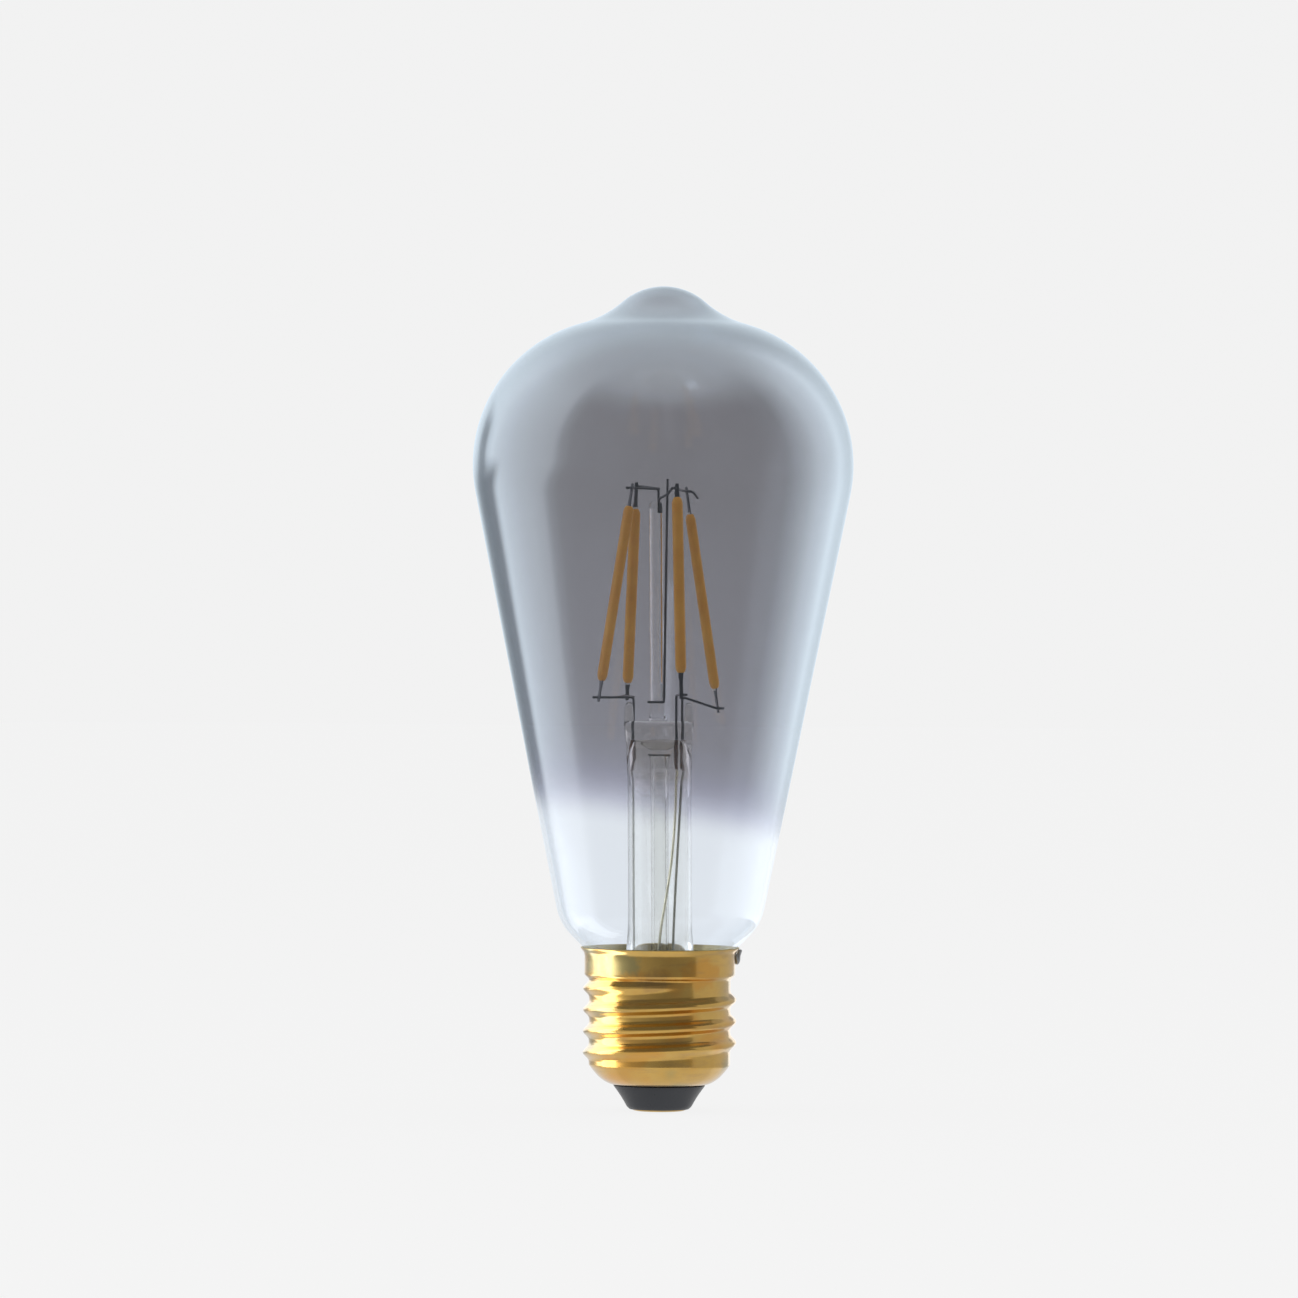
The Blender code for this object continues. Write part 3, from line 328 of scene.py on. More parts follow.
# Surround seen in reflections: rings of (degrees from the front, brightness) at three heights, a tone for
# straight up and one for straight down, and the heights over which each of the last four is blended in.
REST_OF_RING = (
    (-98, 2.3), (-80, 2.2), (-70, 1.9), (-66, 1.0), (-58, 0.5), (-45, 0.34), (-20, 0.27), (10, 0.2),
    (60, 0.24), (80, 0.5), (94, 1.4), (108, 2.1), (134, 2.2), (145, 1.5), (156, 1.1), (180, 1.0),
)
TOP_RING = ((-180, 1.0), (-163, 1.2), (-150, 1.5), (-128, 2.2)) + REST_OF_RING
MIDDLE_RING = (
    (-180, 1.0), (-163, 1.2), (-154, 1.2), (-147, 0.65), (-140, 0.65), (-135, 1.6), (-128, 2.2),
) + REST_OF_RING
LOWER_RING = (
    (-180, 1.0), (-167, 0.9), (-150, 0.5), (-136, 0.42), (-124, 0.5), (-115, 2.3),
) + REST_OF_RING
OVERHEAD_GREY = 1.6
BELOW_GREY = 0.34
WORLD_BLENDS = ((-0.08, 0.08), (0.16, 0.3), (0.6, 1.0), (-0.5, -0.9))
SQUEEZE_BELOW = 0.31
SLANT_BELOW = -17.0
# Cards round the cap: brightness, two (radius, height) rails and the turns in degrees they reach between.
CARDS = {
    "grey_card_right": (0.46, (24.0, 28.2), (24.0, -30.0), (42.0, 123.0)),
    "bright_card_left": (3.2, (24.0, 28.2), (24.0, -1.0), (-85.0, -58.0)),
    "pale_card_under_front": (0.62, (60.0, -0.3), (0.5, -0.3), (-64.0, 84.0)),
    "pale_card_under_back": (0.72, (60.0, -0.3), (0.5, -0.3), (84.0, 296.0)),
    "dark_card_over_front": (0.14, (13.7, 28.3), (60.0, 28.3), (-64.0, 84.0)),
    "dark_card_over_right": (0.32, (13.7, 28.3), (60.0, 28.3), (84.0, 180.0)),
}
CARD_STEPS = 48

MATERIALS = {}


# ---- mesh helpers ----

def smoothstep(low, high, value):
    t = min(max((value - low) / (high - low), 0.0), 1.0)
    return t * t * (3.0 - 2.0 * t)


def evenly(low, high, steps):
    return [low + (high - low) * i / steps for i in range(steps + 1)]


def link_object(name, data):
    """New object of the scene that holds a mesh, a lamp or a camera."""
    made = bpy.data.objects.new(name, data)
    bpy.context.scene.collection.objects.link(made)
    return made


def ring_mesh(name, rings, finishes, closed_loop=False):
    """Mesh in metres, skinned over rings of points in millimetres."""
    verts, faces = join_rings(rings, closed_loop)
    mesh = bpy.data.meshes.new(name)
    mesh.from_pydata([Vector(v) * MM for v in verts], [], faces)
    for finish in finishes:
        mesh.materials.append(MATERIALS[finish])
    return mesh


def make_piece(name, rings, finishes, replaces, sharp_angle=40.0, closed_loop=False, second_from=None):
    """Closed piece riding on the bulb's one body; its second finish starts at ring number second_from."""
    mesh = ring_mesh(name, rings, finishes, closed_loop)
    if second_from is not None:
        first = sum(len(ring) for ring in rings[:second_from])
        mesh.polygons.foreach_set("material_index", [int(min(p.vertices) >= first) for p in mesh.polygons])
    work = bmesh.new()
    work.from_mesh(mesh)
    bmesh.ops.recalc_face_normals(work, faces=work.faces[:])
    if work.calc_volume(signed=True) < 0.0:
        bmesh.ops.reverse_faces(work, faces=work.faces[:])
    work.to_mesh(mesh)
    work.free()
    mesh.shade_smooth()
    mesh.set_sharp_from_angle(angle=math.radians(sharp_angle))
    piece = link_object(name, mesh)
    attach(piece, "root")
    if replaces:
        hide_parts(*replaces)
    return piece


def ring_points(radius, z, sides, centre=(0.0, 0.0)):
    points = []
    for i in range(sides):
        angle = TAU * i / sides
        r = radius(angle) if callable(radius) else radius
        points.append((centre[0] + r * math.cos(angle), centre[1] + r * math.sin(angle), z))
    return points


def join_rings(rings, closed_loop):
    """Skin over a stack of rings of equal count; a one-point ring is a pole."""
    verts, starts, faces = [], [], []
    for ring in rings:
        starts.append(len(verts))
        verts.extend(ring)
    pairs = list(zip(range(len(rings) - 1), range(1, len(rings))))
    if closed_loop:
        pairs.append((len(rings) - 1, 0))
    for a, b in pairs:
        size_a, size_b = len(rings[a]), len(rings[b])
        count = max(size_a, size_b)
        for i in range(count):
            j = (i + 1) % count
            corners = (starts[a] + i % size_a, starts[a] + j % size_a, starts[b] + j % size_b,
                       starts[b] + i % size_b)
            faces.append(tuple(dict.fromkeys(corners)))
    if not closed_loop:
        for start, ring in ((starts[0], rings[0]), (starts[-1], rings[-1])):
            if len(ring) > 1:
                faces.append(tuple(range(start, start + len(ring))))
    return verts, faces


def lathe_rings(profile, sides, centre_at=None):
    """Rings of a turned shape, a pole where the radius is nought; centre_at shifts the axis with height."""
    rings = []
    for radius, z in profile:
        x, y = centre_at(z) if centre_at else (0.0, 0.0)
        rings.append([(x, y, z)] if radius == 0.0 else ring_points(radius, z, sides, (x, y)))
    return rings


def ball_rings(steps, sides, point_of):
    """Rings over all directions from pole to pole, each direction put where point_of says."""
    rings = []
    for i in range(steps + 1):
        phi = math.pi * i / steps
        across = math.sin(phi)
        ring = []
        for k in range(sides):
            angle = TAU * k / sides
            ring.append(point_of(Vector((across * math.cos(angle), across * math.sin(angle), math.cos(phi)))))
        rings.append([ring[0]] if i in (0, steps) else ring)
    return rings


def eased_path(points, reach_of, steps):
    """Cut each inner corner of a path back by a reach along both its legs and curve across."""
    path = [Vector(points[0])]
    for before, corner, after in zip(points, points[1:], points[2:]):
        corner = Vector(corner)
        back, ahead = Vector(before) - corner, Vector(after) - corner
        start = corner + back.normalized() * reach_of(back.length, ahead.length)
        end = corner + ahead.normalized() * reach_of(ahead.length, back.length)
        for k in range(steps + 1):
            t = k / steps
            path.append(start * (1 - t) ** 2 + corner * 2 * t * (1 - t) + end * t ** 2)
    path.append(Vector(points[-1]))
    return path


def rounded_profile(points, fraction, steps=3):
    """Profile with its corners rounded over a fraction of the shorter leg."""
    return [tuple(p) for p in eased_path(points, lambda leg, other: fraction * min(leg, other), steps)]


def wire_rings(points, radius, bend):
    """Round wire along a path, with smooth bends and slightly rounded cut ends."""
    path = eased_path(points, lambda leg, _: min(bend, LONGEST_CUT * leg), WIRE_BEND_STEPS)
    first = (path[1] - path[0]).normalized()
    last = (path[-1] - path[-2]).normalized()
    cut = radius * WIRE_BLUNT
    path = [path[0], path[0] + first * cut] + path[1:-1] + [path[-1] - last * cut, path[-1]]
    scales = [1.0 - WIRE_BLUNT] + [1.0] * (len(path) - 2) + [1.0 - WIRE_BLUNT]
    directions = [(b - a).normalized() for a, b in zip(path, path[1:])]
    side = directions[0].orthogonal().normalized()
    rings = []
    for i, point in enumerate(path):
        before = directions[max(i - 1, 0)]
        after = directions[min(i, len(directions) - 1)]
        tangent = (before + after).normalized()
        side = (side - tangent * side.dot(tangent)).normalized()
        other = tangent.cross(side)
        ring = []
        for k in range(WIRE_SIDES):
            angle = TAU * k / WIRE_SIDES
            offset = side * math.cos(angle) + other * math.sin(angle)
            ring.append(point + offset * radius * scales[i])
        rings.append(ring)
    return rings


def lean_x(z):
    """Sideways place of the stem's centre line: true at the neck, off the axis higher up."""
    t = max(z - LEAN_FROM_Z, 0.0) / (PRESS_TOP_Z - LEAN_FROM_Z)
    return LEAN_X * t ** 1.5


def oval(half_x, half_y, z, squareness, sides, centre=(0.0, 0.0)):
    """Ring of a rounded oval: squareness 2 is an ellipse, larger is boxier."""
    power = 2.0 / squareness
    points = []
    for i in range(sides):
        angle = TAU * (i + 0.5) / sides
        c, s = math.cos(angle), math.sin(angle)
        x = math.copysign(abs(c) ** power, c) * half_x
        y = math.copysign(abs(s) ** power, s) * half_y
        points.append((x + centre[0], y + centre[1], z))
    return points


# ---- shader helpers ----

def add_node(tree, kind, sockets=None, **settings):
    """A shader node of some kind; a socket's value may be a number, a colour or another node's output."""
    node = tree.nodes.new("ShaderNode" + kind)
    for key, value in settings.items():
        setattr(node, key, value)
    for key, value in (sockets or {}).items():
        if isinstance(value, bpy.types.NodeSocket):
            tree.links.new(value, node.inputs[key])
        else:
            node.inputs[key].default_value = value
    return node


def math_node(tree, operation, *values):
    return add_node(tree, "Math", dict(enumerate(values)), operation=operation).outputs[0]


def vector_node(tree, operation, *values):
    return add_node(tree, "VectorMath", dict(enumerate(values)), operation=operation)


def blank_material(name):
    """New empty material, kept under its name for the pieces that wear it."""
    made = bpy.data.materials.new(name)
    made.use_nodes = True
    made.node_tree.nodes.clear()
    MATERIALS[name] = made
    return made.node_tree


def set_surface(tree, shader):
    add_node(tree, "OutputMaterial", {"Surface": shader.outputs[0]})


def object_place(tree):
    """Position in the object's own coordinates."""
    return add_node(tree, "TexCoord").outputs["Object"]


def noise_value(tree, scale, detail=3.0, roughness=0.55, stretch=None):
    """Noise from 0 to 1 in the object's own coordinates; stretch scales the axes first."""
    place = object_place(tree)
    if stretch is not None:
        place = add_node(tree, "Mapping", {"Vector": place, "Scale": stretch}).outputs[0]
    node = add_node(tree, "TexNoise",
                    {"Vector": place, "Scale": scale, "Detail": detail, "Roughness": roughness})
    return node.outputs["Fac"]


def remap(tree, value, low, high, to_low=0.0, to_high=1.0, smooth=False):
    kind = "SMOOTHSTEP" if smooth else "LINEAR"
    node = add_node(tree, "MapRange", {
        "Value": value, "From Min": low, "From Max": high, "To Min": to_low, "To Max": to_high,
    }, interpolation_type=kind)
    return node.outputs["Result"]


def mix_colour(tree, factor, first, second):
    return add_node(tree, "Mix", {0: factor, 6: first, 7: second}, data_type="RGBA").outputs[2]


def mix_shaders(tree, share, first, second):
    return add_node(tree, "MixShader", {0: share, 1: first.outputs[0], 2: second.outputs[0]})


def grey(value):
    return (value, value, value, 1.0)


def bump(tree, height, strength, distance):
    return add_node(tree, "Bump", {
        "Height": height, "Strength": strength, "Distance": distance,
    }).outputs["Normal"]


def facing_power(tree, power):
    """Nought where the surface faces the eye, rising to one at its edge."""
    facing = add_node(tree, "LayerWeight", {"Blend": FACING_BLEND}).outputs["Facing"]
    return math_node(tree, "POWER", facing, power)


def mirror_share(tree, power, gain, base):
    """Share of the light a glass face mirrors: base straight on, with a gain towards its edge."""
    return math_node(tree, "MULTIPLY_ADD", facing_power(tree, power), gain, base)


def coated(tree, share, tint, sheen, roughness, **extra):
    """Glass face that shows what is behind it, tinted, under a share of mirror."""
    clear = add_node(tree, "BsdfTransparent", {"Color": tint})
    mirror = add_node(tree, "BsdfGlossy", {"Color": sheen, "Roughness": roughness, **extra})
    set_surface(tree, mix_shaders(tree, share, clear, mirror))


def colour_ramp(tree, value, stops):
    """Ramp over 0 to 1 from (position, grey or colour) stops."""
    ramp = add_node(tree, "ValToRGB", {0: value})
    elements = ramp.color_ramp.elements
    elements[0].position = stops[0][0]
    elements[1].position = stops[-1][0]
    for position, _ in stops[1:-1]:
        elements.new(position)
    for element, (_, tone) in zip(elements, stops):
        element.color = (*tone, 1.0) if isinstance(tone, tuple) else grey(tone)
    return ramp.outputs["Color"]


# ---- materials ----

def plain_finish(name, colour, metallic, roughness, speckle, grain, bump_mm, specular=0.5):
    """General solid finish: base colour with fine variation, uneven roughness and a light bump."""
    tree = blank_material(name)
    fine = noise_value(tree, grain)
    broad = noise_value(tree, grain * 0.12, detail=2.0)
    darker = tuple(c * (1.0 - 2.0 * speckle) for c in colour) + (1.0,)
    lighter = tuple(min(c * (1.0 + speckle), 1.0) for c in colour) + (1.0,)
    set_surface(tree, add_node(tree, "BsdfPrincipled", {
        "Base Color": mix_colour(tree, remap(tree, broad, 0.3, 0.7), darker, lighter),
        "Metallic": metallic,
        "Roughness": remap(tree, fine, 0.3, 0.7, roughness * 0.85, min(roughness * 1.2, 1.0)),
        "Specular IOR Level": specular,
        "Normal": bump(tree, fine, 0.4, bump_mm * MM),
    }))


def coat_density(tree):
    """How much metal film the outside carries: full above, thinning slowly, gone above the neck."""
    parts = add_node(tree, "SeparateXYZ", {0: object_place(tree)})
    tilted = math_node(tree, "MULTIPLY_ADD", parts.outputs["X"], COAT_TILT, parts.outputs["Z"])
    cloud = remap(tree, noise_value(tree, 55.0, detail=2.0), 0.3, 0.7, -0.5 * MM, 0.5 * MM)
    height = math_node(tree, "ADD", tilted, cloud)
    return colour_ramp(tree, remap(tree, height, 0.0, TIP_Z * MM),
                       [(z / TIP_Z, density) for z, density in COAT_HEIGHT_STOPS])


def smoke_coat(name):
    """Outside of the envelope: grey metallised film, faded to bare glass towards the neck."""
    tree = blank_material(name)
    density = coat_density(tree)
    bare, full = mirror_share(tree, *BARE_MIRROR), mirror_share(tree, *COAT_MIRROR)
    share = add_node(tree, "Mix", {0: density, 2: bare, 3: full}).outputs[0]
    oblique = math_node(tree, "MULTIPLY", facing_power(tree, 2.0), density)
    tint = mix_colour(tree, oblique, colour_ramp(tree, density, COAT_TINT_STOPS), COAT_OBLIQUE)
    sheen = mix_colour(tree, density, BARE_SHEEN, COAT_SHEEN)
    ripple = bump(tree, noise_value(tree, 38.0, detail=1.0), 0.25, 0.05 * MM)
    coated(tree, share, tint, sheen, 0.09, Normal=ripple)


def bare_inside(name):
    """Inner face of the envelope: clear, with a faint mirror share."""
    tree = blank_material(name)
    tint = mix_colour(tree, facing_power(tree, 2.0), *INNER_TINTS)
    coated(tree, mirror_share(tree, *INNER_MIRROR), tint, grey(1.0), 0.05)


def stain(tree, centre, radius, strength):
    """Soft-edged, ragged patch of tarnish round one point of the surface, wider than it is high."""
    offset = vector_node(tree, "SUBTRACT", object_place(tree), tuple(c * MM for c in centre))
    flat = vector_node(tree, "MULTIPLY", offset.outputs[0], STAIN_SQUASH)
    distance = vector_node(tree, "LENGTH", flat.outputs[0])
    reach = radius * MM
    ragged = remap(tree, noise_value(tree, 420.0), 0.3, 0.7, -0.3 * reach, 0.3 * reach)
    edge = math_node(tree, "ADD", distance.outputs["Value"], ragged)
    return remap(tree, edge, 1.15 * reach, 0.55 * reach, 0.0, strength, smooth=True)


def brass(name, smudges):
    """Rolled, lacquered brass: warm metal with tarnish clouds, orange and olive patches and scratches."""
    tree = blank_material(name)
    broad = noise_value(tree, 110.0, detail=4.0, roughness=0.6)
    patch = noise_value(tree, 75.0, detail=2.0, stretch=(1.0, 1.0, 1.5))
    streak = noise_value(tree, 160.0, stretch=(1.0, 1.0, 5.0))
    scratch = noise_value(tree, 500.0, detail=4.0, stretch=(1.0, 1.0, 12.0))
    base = mix_colour(tree, remap(tree, broad, 0.35, 0.7), *BRASS_TONES)
    olive = remap(tree, patch, 0.55, 0.68, 0.0, smudges, smooth=True)
    base = mix_colour(tree, olive, base, OLIVE_TARNISH)
    orange = remap(tree, patch, 0.47, 0.36, 0.0, smudges, smooth=True)
    base = mix_colour(tree, orange, base, ORANGE_TARNISH)
    for centre, radius, tone in STAINS:
        base = mix_colour(tree, stain(tree, centre, radius, smudges), base, tone)
    worn = remap(tree, streak, 0.5, 0.75, 0.0, 0.5 * smudges, smooth=True)
    base = mix_colour(tree, worn, base, WORN_TONE)
    set_surface(tree, add_node(tree, "BsdfPrincipled", {
        "Base Color": base, "Metallic": 1.0, "Roughness": remap(tree, broad, 0.3, 0.75, 0.15, 0.27),
        "Coat Weight": LACQUER_WEIGHT, "Coat Roughness": LACQUER_ROUGHNESS, "Coat IOR": LACQUER_IOR,
        "Normal": bump(tree, scratch, 0.25, 0.006 * MM),
    }))


def phosphor(name):
    """Amber phosphor silicone: smooth, satin and a little see-into, cloudier in places."""
    tree = blank_material(name)
    broad = remap(tree, noise_value(tree, 160.0, detail=2.0), 0.3, 0.7)
    fine = noise_value(tree, 1400.0)
    set_surface(tree, add_node(tree, "BsdfPrincipled", {
        "Base Color": mix_colour(tree, broad, *PHOSPHOR_TONES),
        "Roughness": 0.42, "Subsurface Weight": 0.25, "Subsurface Scale": 0.4 * MM,
        "Subsurface Radius": (1.0, 0.6, 0.25),
        "Normal": bump(tree, fine, 0.3, 0.008 * MM),
    }))


def clear_glass(name, stain_colour):
    """Solid clear glass that bends what is seen through it: darker edge on, clouded where it was pinched."""
    tree = blank_material(name)
    height = add_node(tree, "SeparateXYZ", {0: object_place(tree)}).outputs["Z"]
    pinched = remap(tree, height, PINCH_STAIN_Z[0] * MM, PINCH_STAIN_Z[1] * MM, smooth=True)
    cloud = remap(tree, noise_value(tree, 330.0, detail=2.0), 0.35, 0.65, 0.75, 1.0)
    colour = mix_colour(tree, math_node(tree, "MULTIPLY", pinched, cloud), MOUNT_CLEAR, stain_colour)
    ripple = bump(tree, noise_value(tree, 160.0, detail=1.0, stretch=(1.0, 1.0, 0.3)), 0.3, 0.05 * MM)
    set_surface(tree, add_node(tree, "BsdfPrincipled", {
        "Base Color": mix_colour(tree, facing_power(tree, 2.5), colour, MOUNT_EDGE),
        "Roughness": 0.0, "IOR": GLASS_IOR, "Transmission Weight": 1.0, "Normal": ripple,
    }))


def make_materials():
    smoke_coat("smoke_coated_glass")
    bare_inside("envelope_inner_face")
    clear_glass("stem_glass", MOUNT_STAIN)
    clear_glass("rod_and_tube_glass", MOUNT_CLEAR)
    brass("brass_shell", 0.75)
    brass("brass_contact", 0.3)
    phosphor("phosphor_silicone")
    for name, finish in PLAIN_FINISHES.items():
        plain_finish(name, *finish)


# ---- glass envelope ----

def walk_profile(r, z, steps):
    """Points and outward normals of a profile of tangent arcs and lines that sets out level and outward."""
    angle = 0.0
    found = [(r, z, math.sin(angle), math.cos(angle))]
    for radius, amount, count in steps:
        for _ in range(count):
            if radius is None:
                length = amount / count
                r += length * math.cos(angle)
                z -= length * math.sin(angle)
            else:
                turn = math.radians(amount) / count * math.copysign(1.0, radius)
                chord = 2.0 * abs(radius) * math.sin(abs(turn) / 2.0)
                r += chord * math.cos(angle + turn / 2.0)
                z -= chord * math.sin(angle + turn / 2.0)
                angle += turn
            found.append((r, z, math.sin(angle), math.cos(angle)))
    return found


def wavy_ring(r, z, normal_r, normal_z, inset):
    """Ring of the glass, moved along its normal by the inset and by the unevenness of blown glass."""
    ring = []
    for i in range(ENVELOPE_SIDES):
        angle = TAU * i / ENVELOPE_SIDES
        place = Vector((r * math.cos(angle), r * math.sin(angle), z)) * WAVE_SCALE
        out = ENVELOPE_WAVINESS * noise.noise(place) - inset
        ring_r = r + normal_r * out
        ring.append((ring_r * math.cos(angle), ring_r * math.sin(angle), z + normal_z * out))
    return ring


def build_envelope():
    """Blown glass body with its wall, open at the sealed neck end."""
    outside = walk_profile(0.0, TIP_Z, ENVELOPE_WALK)
    rings = [[(0.0, 0.0, TIP_Z)]]
    rings.extend(wavy_ring(*place, 0.0) for place in outside[1:])
    last_r, last_z = outside[-1][:2]
    for k in range(1, RIM_STEPS):
        bend = math.pi * k / RIM_STEPS
        r = last_r - WALL / 2.0 + WALL / 2.0 * math.cos(bend)
        rings.append(ring_points(r, last_z - WALL / 2.0 * math.sin(bend), ENVELOPE_SIDES))
    first_inner = len(rings)
    rings.extend(wavy_ring(*place, WALL) for place in reversed(outside[1:]))
    rings.append([(0.0, 0.0, TIP_Z - WALL)])
    make_piece("envelope_glass", rings, ["smoke_coated_glass", "envelope_inner_face"], ["glass_envelope"],
               60.0, second_from=first_inner)


# ---- screw cap ----

def thread_height(z, angle):
    """How far the rolled thread stands out of its root at one height and angle."""
    height = 0.0
    for turn in THREAD_TURNS:
        total = math.degrees(angle) + 360.0 * turn
        crest_z = THREAD_START_Z + THREAD_PITCH * total / 360.0
        offset = abs(z - crest_z) / THREAD_PITCH
        if offset < 0.5:
            fade_in = smoothstep(0.0, THREAD_FADE_IN, total)
            fade_out = 1.0 - smoothstep(THREAD_FADE_OUT_FROM, THREAD_FADE_OUT_TO, total)
            bump_shape = (0.5 + 0.5 * math.cos(TAU * offset)) ** THREAD_SHARPNESS
            height = THREAD_DEPTH * bump_shape * fade_in * fade_out
    return height


def shell_radius_at(z, inset):
    """Radius of the threaded wall as a function of the angle, with the step up to the skirt blended in."""
    step = smoothstep(SKIRT_STEP_Z[0], SKIRT_STEP_Z[1], z)
    base = THREAD_ROOT + (SKIRT_RADIUS - THREAD_ROOT) * step

    def radius(angle):
        ridge = THREAD_ROOT + thread_height(z, angle)
        gap = max(THREAD_BLEND - abs(base - ridge), 0.0) / THREAD_BLEND
        place = Vector((math.cos(angle), math.sin(angle), z)) * Vector(DENT_SCALE)
        return max(base, ridge) + gap * gap * THREAD_BLEND / 4.0 - inset + DENT_DEPTH * noise.noise(place)
    return radius


def thread_rows():
    """Evenly spaced heights over the threaded wall."""
    low = SHELL_BOTTOM[-1][1] + 0.35
    high = SKIRT_STEP_Z[1] + 0.3
    return evenly(low, high, math.ceil((high - low) * ROWS_PER_PITCH / THREAD_PITCH))


def build_screw_shell():
    """Thin brass shell: curled-in bottom, rolled thread, plain skirt and a small flared lip."""
    curl = rounded_profile(SHELL_BOTTOM, 0.45)
    outside = list(curl)
    outside.extend((shell_radius_at(z, 0.0), z) for z in thread_rows())
    outside.extend((SKIRT_RADIUS, SKIRT_STEP_Z[1] + 0.6 + 0.5 * i) for i in range(4))
    flare = [(SKIRT_RADIUS, SKIRT_TOP_Z), (SKIRT_RADIUS + 0.12, SKIRT_TOP_Z + 0.5),
             (LIP_RADIUS - 0.15, LIP_Z - 0.35), (LIP_RADIUS, LIP_Z - 0.06),
             (LIP_RADIUS - SHEET / 2.0, LIP_Z + 0.06), (LIP_RADIUS - SHEET, LIP_Z - 0.02),
             (SKIRT_RADIUS - 0.1, SKIRT_TOP_Z + 0.6), (SKIRT_RADIUS - SHEET, SKIRT_TOP_Z)]
    outside.extend(rounded_profile(flare, 0.3))
    inside = [(shell_radius_at(z, SHEET), z) for z in reversed(thread_rows())]
    inside.extend((r - 0.6 * SHEET, z + 0.8 * SHEET) for r, z in reversed(curl[1:]))
    inside.append((SHELL_BOTTOM[0][0], SHELL_BOTTOM[0][1] + SHEET))
    # From the top of the lip inward the shell wears the darker inside finish: painted shade over the lip's
    # top and inside the cap.
    lip_ring = next(i for i, (_, z) in enumerate(outside) if z > LIP_Z - 0.1)
    make_piece("brass_screw_shell", lathe_rings(outside + inside, SHELL_SIDES),
               ["brass_shell", "dull_brass_and_painted_shade"], ["screw_shell"], 50.0, True, lip_ring)


def build_insulator():
    """Black glass insulator: outer cone, hub through the shell hole and a flange inside."""
    profile = rounded_profile(INSULATOR_PROFILE, 0.4, 4)[:-1]
    make_piece("black_insulator", lathe_rings(profile, CAP_PART_SIDES), ["black_vitrite"], ["insulator"],
               closed_loop=True)


def build_centre_contact():
    """Flat brass contact plate with a soft rim and a stamped ring, and the pin that holds the wire."""
    profile = rounded_profile(CONTACT_PROFILE, 0.35)
    make_piece("brass_centre_contact", lathe_rings(profile, CAP_PART_SIDES), ["brass_contact"],
               ["centre_contact"])


def build_side_solder():
    """Uneven solder bead on the skirt where the neutral wire comes out."""
    centre_r, centre_z = SOLDER_CENTRE

    def bead_skin(direction):
        z = centre_z + SOLDER_HALF[2] * direction.z
        flare = (LIP_RADIUS - SKIRT_RADIUS) * max(z - SKIRT_TOP_Z, 0.0) / (LIP_Z - SKIRT_TOP_Z)
        lump = 1.0 + SOLDER_LUMPS * noise.noise(direction * 1.7)
        x = centre_r + flare + SOLDER_HALF[0] * direction.x * lump
        y = SOLDER_HALF[1] * direction.y * lump
        reach = math.hypot(x, y)
        scale = max(reach, SKIRT_RADIUS + flare + 0.02) / reach
        return x * scale, y * scale, z
    make_piece("solder_bead", ball_rings(28, 36, bead_skin), ["tin_solder"], ["side_solder"], 80.0)


# ---- glass mount ----

def smooth_sections(sections):
    """Sections with extra ones eased in between by a Catmull-Rom curve."""
    found = []
    for i in range(len(sections) - 1):
        p0 = sections[max(i - 1, 0)]
        p1, p2 = sections[i], sections[i + 1]
        p3 = sections[min(i + 2, len(sections) - 1)]
        for k in range(EASED_SECTIONS):
            t = k / EASED_SECTIONS
            found.append(tuple(
                0.5 * (2 * b + (c - a) * t + (2 * a - 5 * b + 4 * c - d) * t ** 2
                       + (3 * b - a - 3 * c + d) * t ** 3)
                for a, b, c, d in zip(p0, p1, p2, p3)
            ))
    found.append(sections[-1])
    return found


def rippled(ring):
    """Lumps and folds that pinching leaves in the soft glass, faded out above and below the press."""
    low, high = PINCH_Z
    found = []
    for x, y, z in ring:
        strength = smoothstep(low, low + 3.0, z) * (1.0 - smoothstep(high - 2.0, high, z))
        lump = PINCH_RIPPLE * strength * noise.noise(Vector((x, y, z)) * Vector(RIPPLE_SCALE))
        found.append((x + 0.3 * lump, y + math.copysign(lump, y), z))
    return found


def build_stem():
    """Flare tube whose top end is pinched flat into the press, drawn up in a horn at each end."""
    outside = smooth_sections(STEM_OUTSIDE)
    for step in range(1, 6):
        turn = 0.1 * step * math.pi
        inset = PRESS_EDGE * (1.0 - math.cos(turn))
        outside.append((PRESS_HALF_WIDTH - inset, PRESS_HALF_THICK - inset,
                        PRESS_TOP_Z - PRESS_EDGE * (1.0 - math.sin(turn)), PRESS_SQUARENESS))
    rings = [[(lean_x(PRESS_TOP_Z), 0.0, PRESS_TOP_Z)]]
    rings.extend(rippled(oval(a, b, z, q, STEM_SIDES, (lean_x(z), 0.0))) for a, b, z, q in reversed(outside))
    inside = smooth_sections(STEM_INSIDE)
    rings.extend(oval(a, b, z, q, STEM_SIDES, (lean_x(z), 0.0)) for a, b, z, q in inside)
    rings.append([(lean_x(PRESS_ROOF_Z), 0.0, PRESS_ROOF_Z)])
    stem = make_piece("stem_glass", rings, ["stem_glass"], ["glass_stem"], 60.0)
    for centre in HORNS:
        horn = [oval(a, b, z, q, HORN_SIDES, centre) for a, b, z, q in smooth_sections(HORN_SECTIONS)]
        melt_together(stem, link_object("horn", ring_mesh("horn", horn, ["stem_glass"])))


def melt_together(body, addition):
    """Fuse a second glass shape into a piece and drop the helper object."""
    modifier = body.modifiers.new("melt", "BOOLEAN")
    modifier.operation = "UNION"
    modifier.solver = "EXACT"
    modifier.object = addition
    bpy.context.view_layer.update()
    evaluated = body.evaluated_get(bpy.context.evaluated_depsgraph_get())
    body_mesh = bpy.data.meshes.new_from_object(evaluated)
    body.modifiers.clear()
    body.data = body_mesh
    body_mesh.shade_smooth()
    body_mesh.set_sharp_from_angle(angle=math.radians(60.0))
    bpy.data.objects.remove(addition, do_unlink=True)


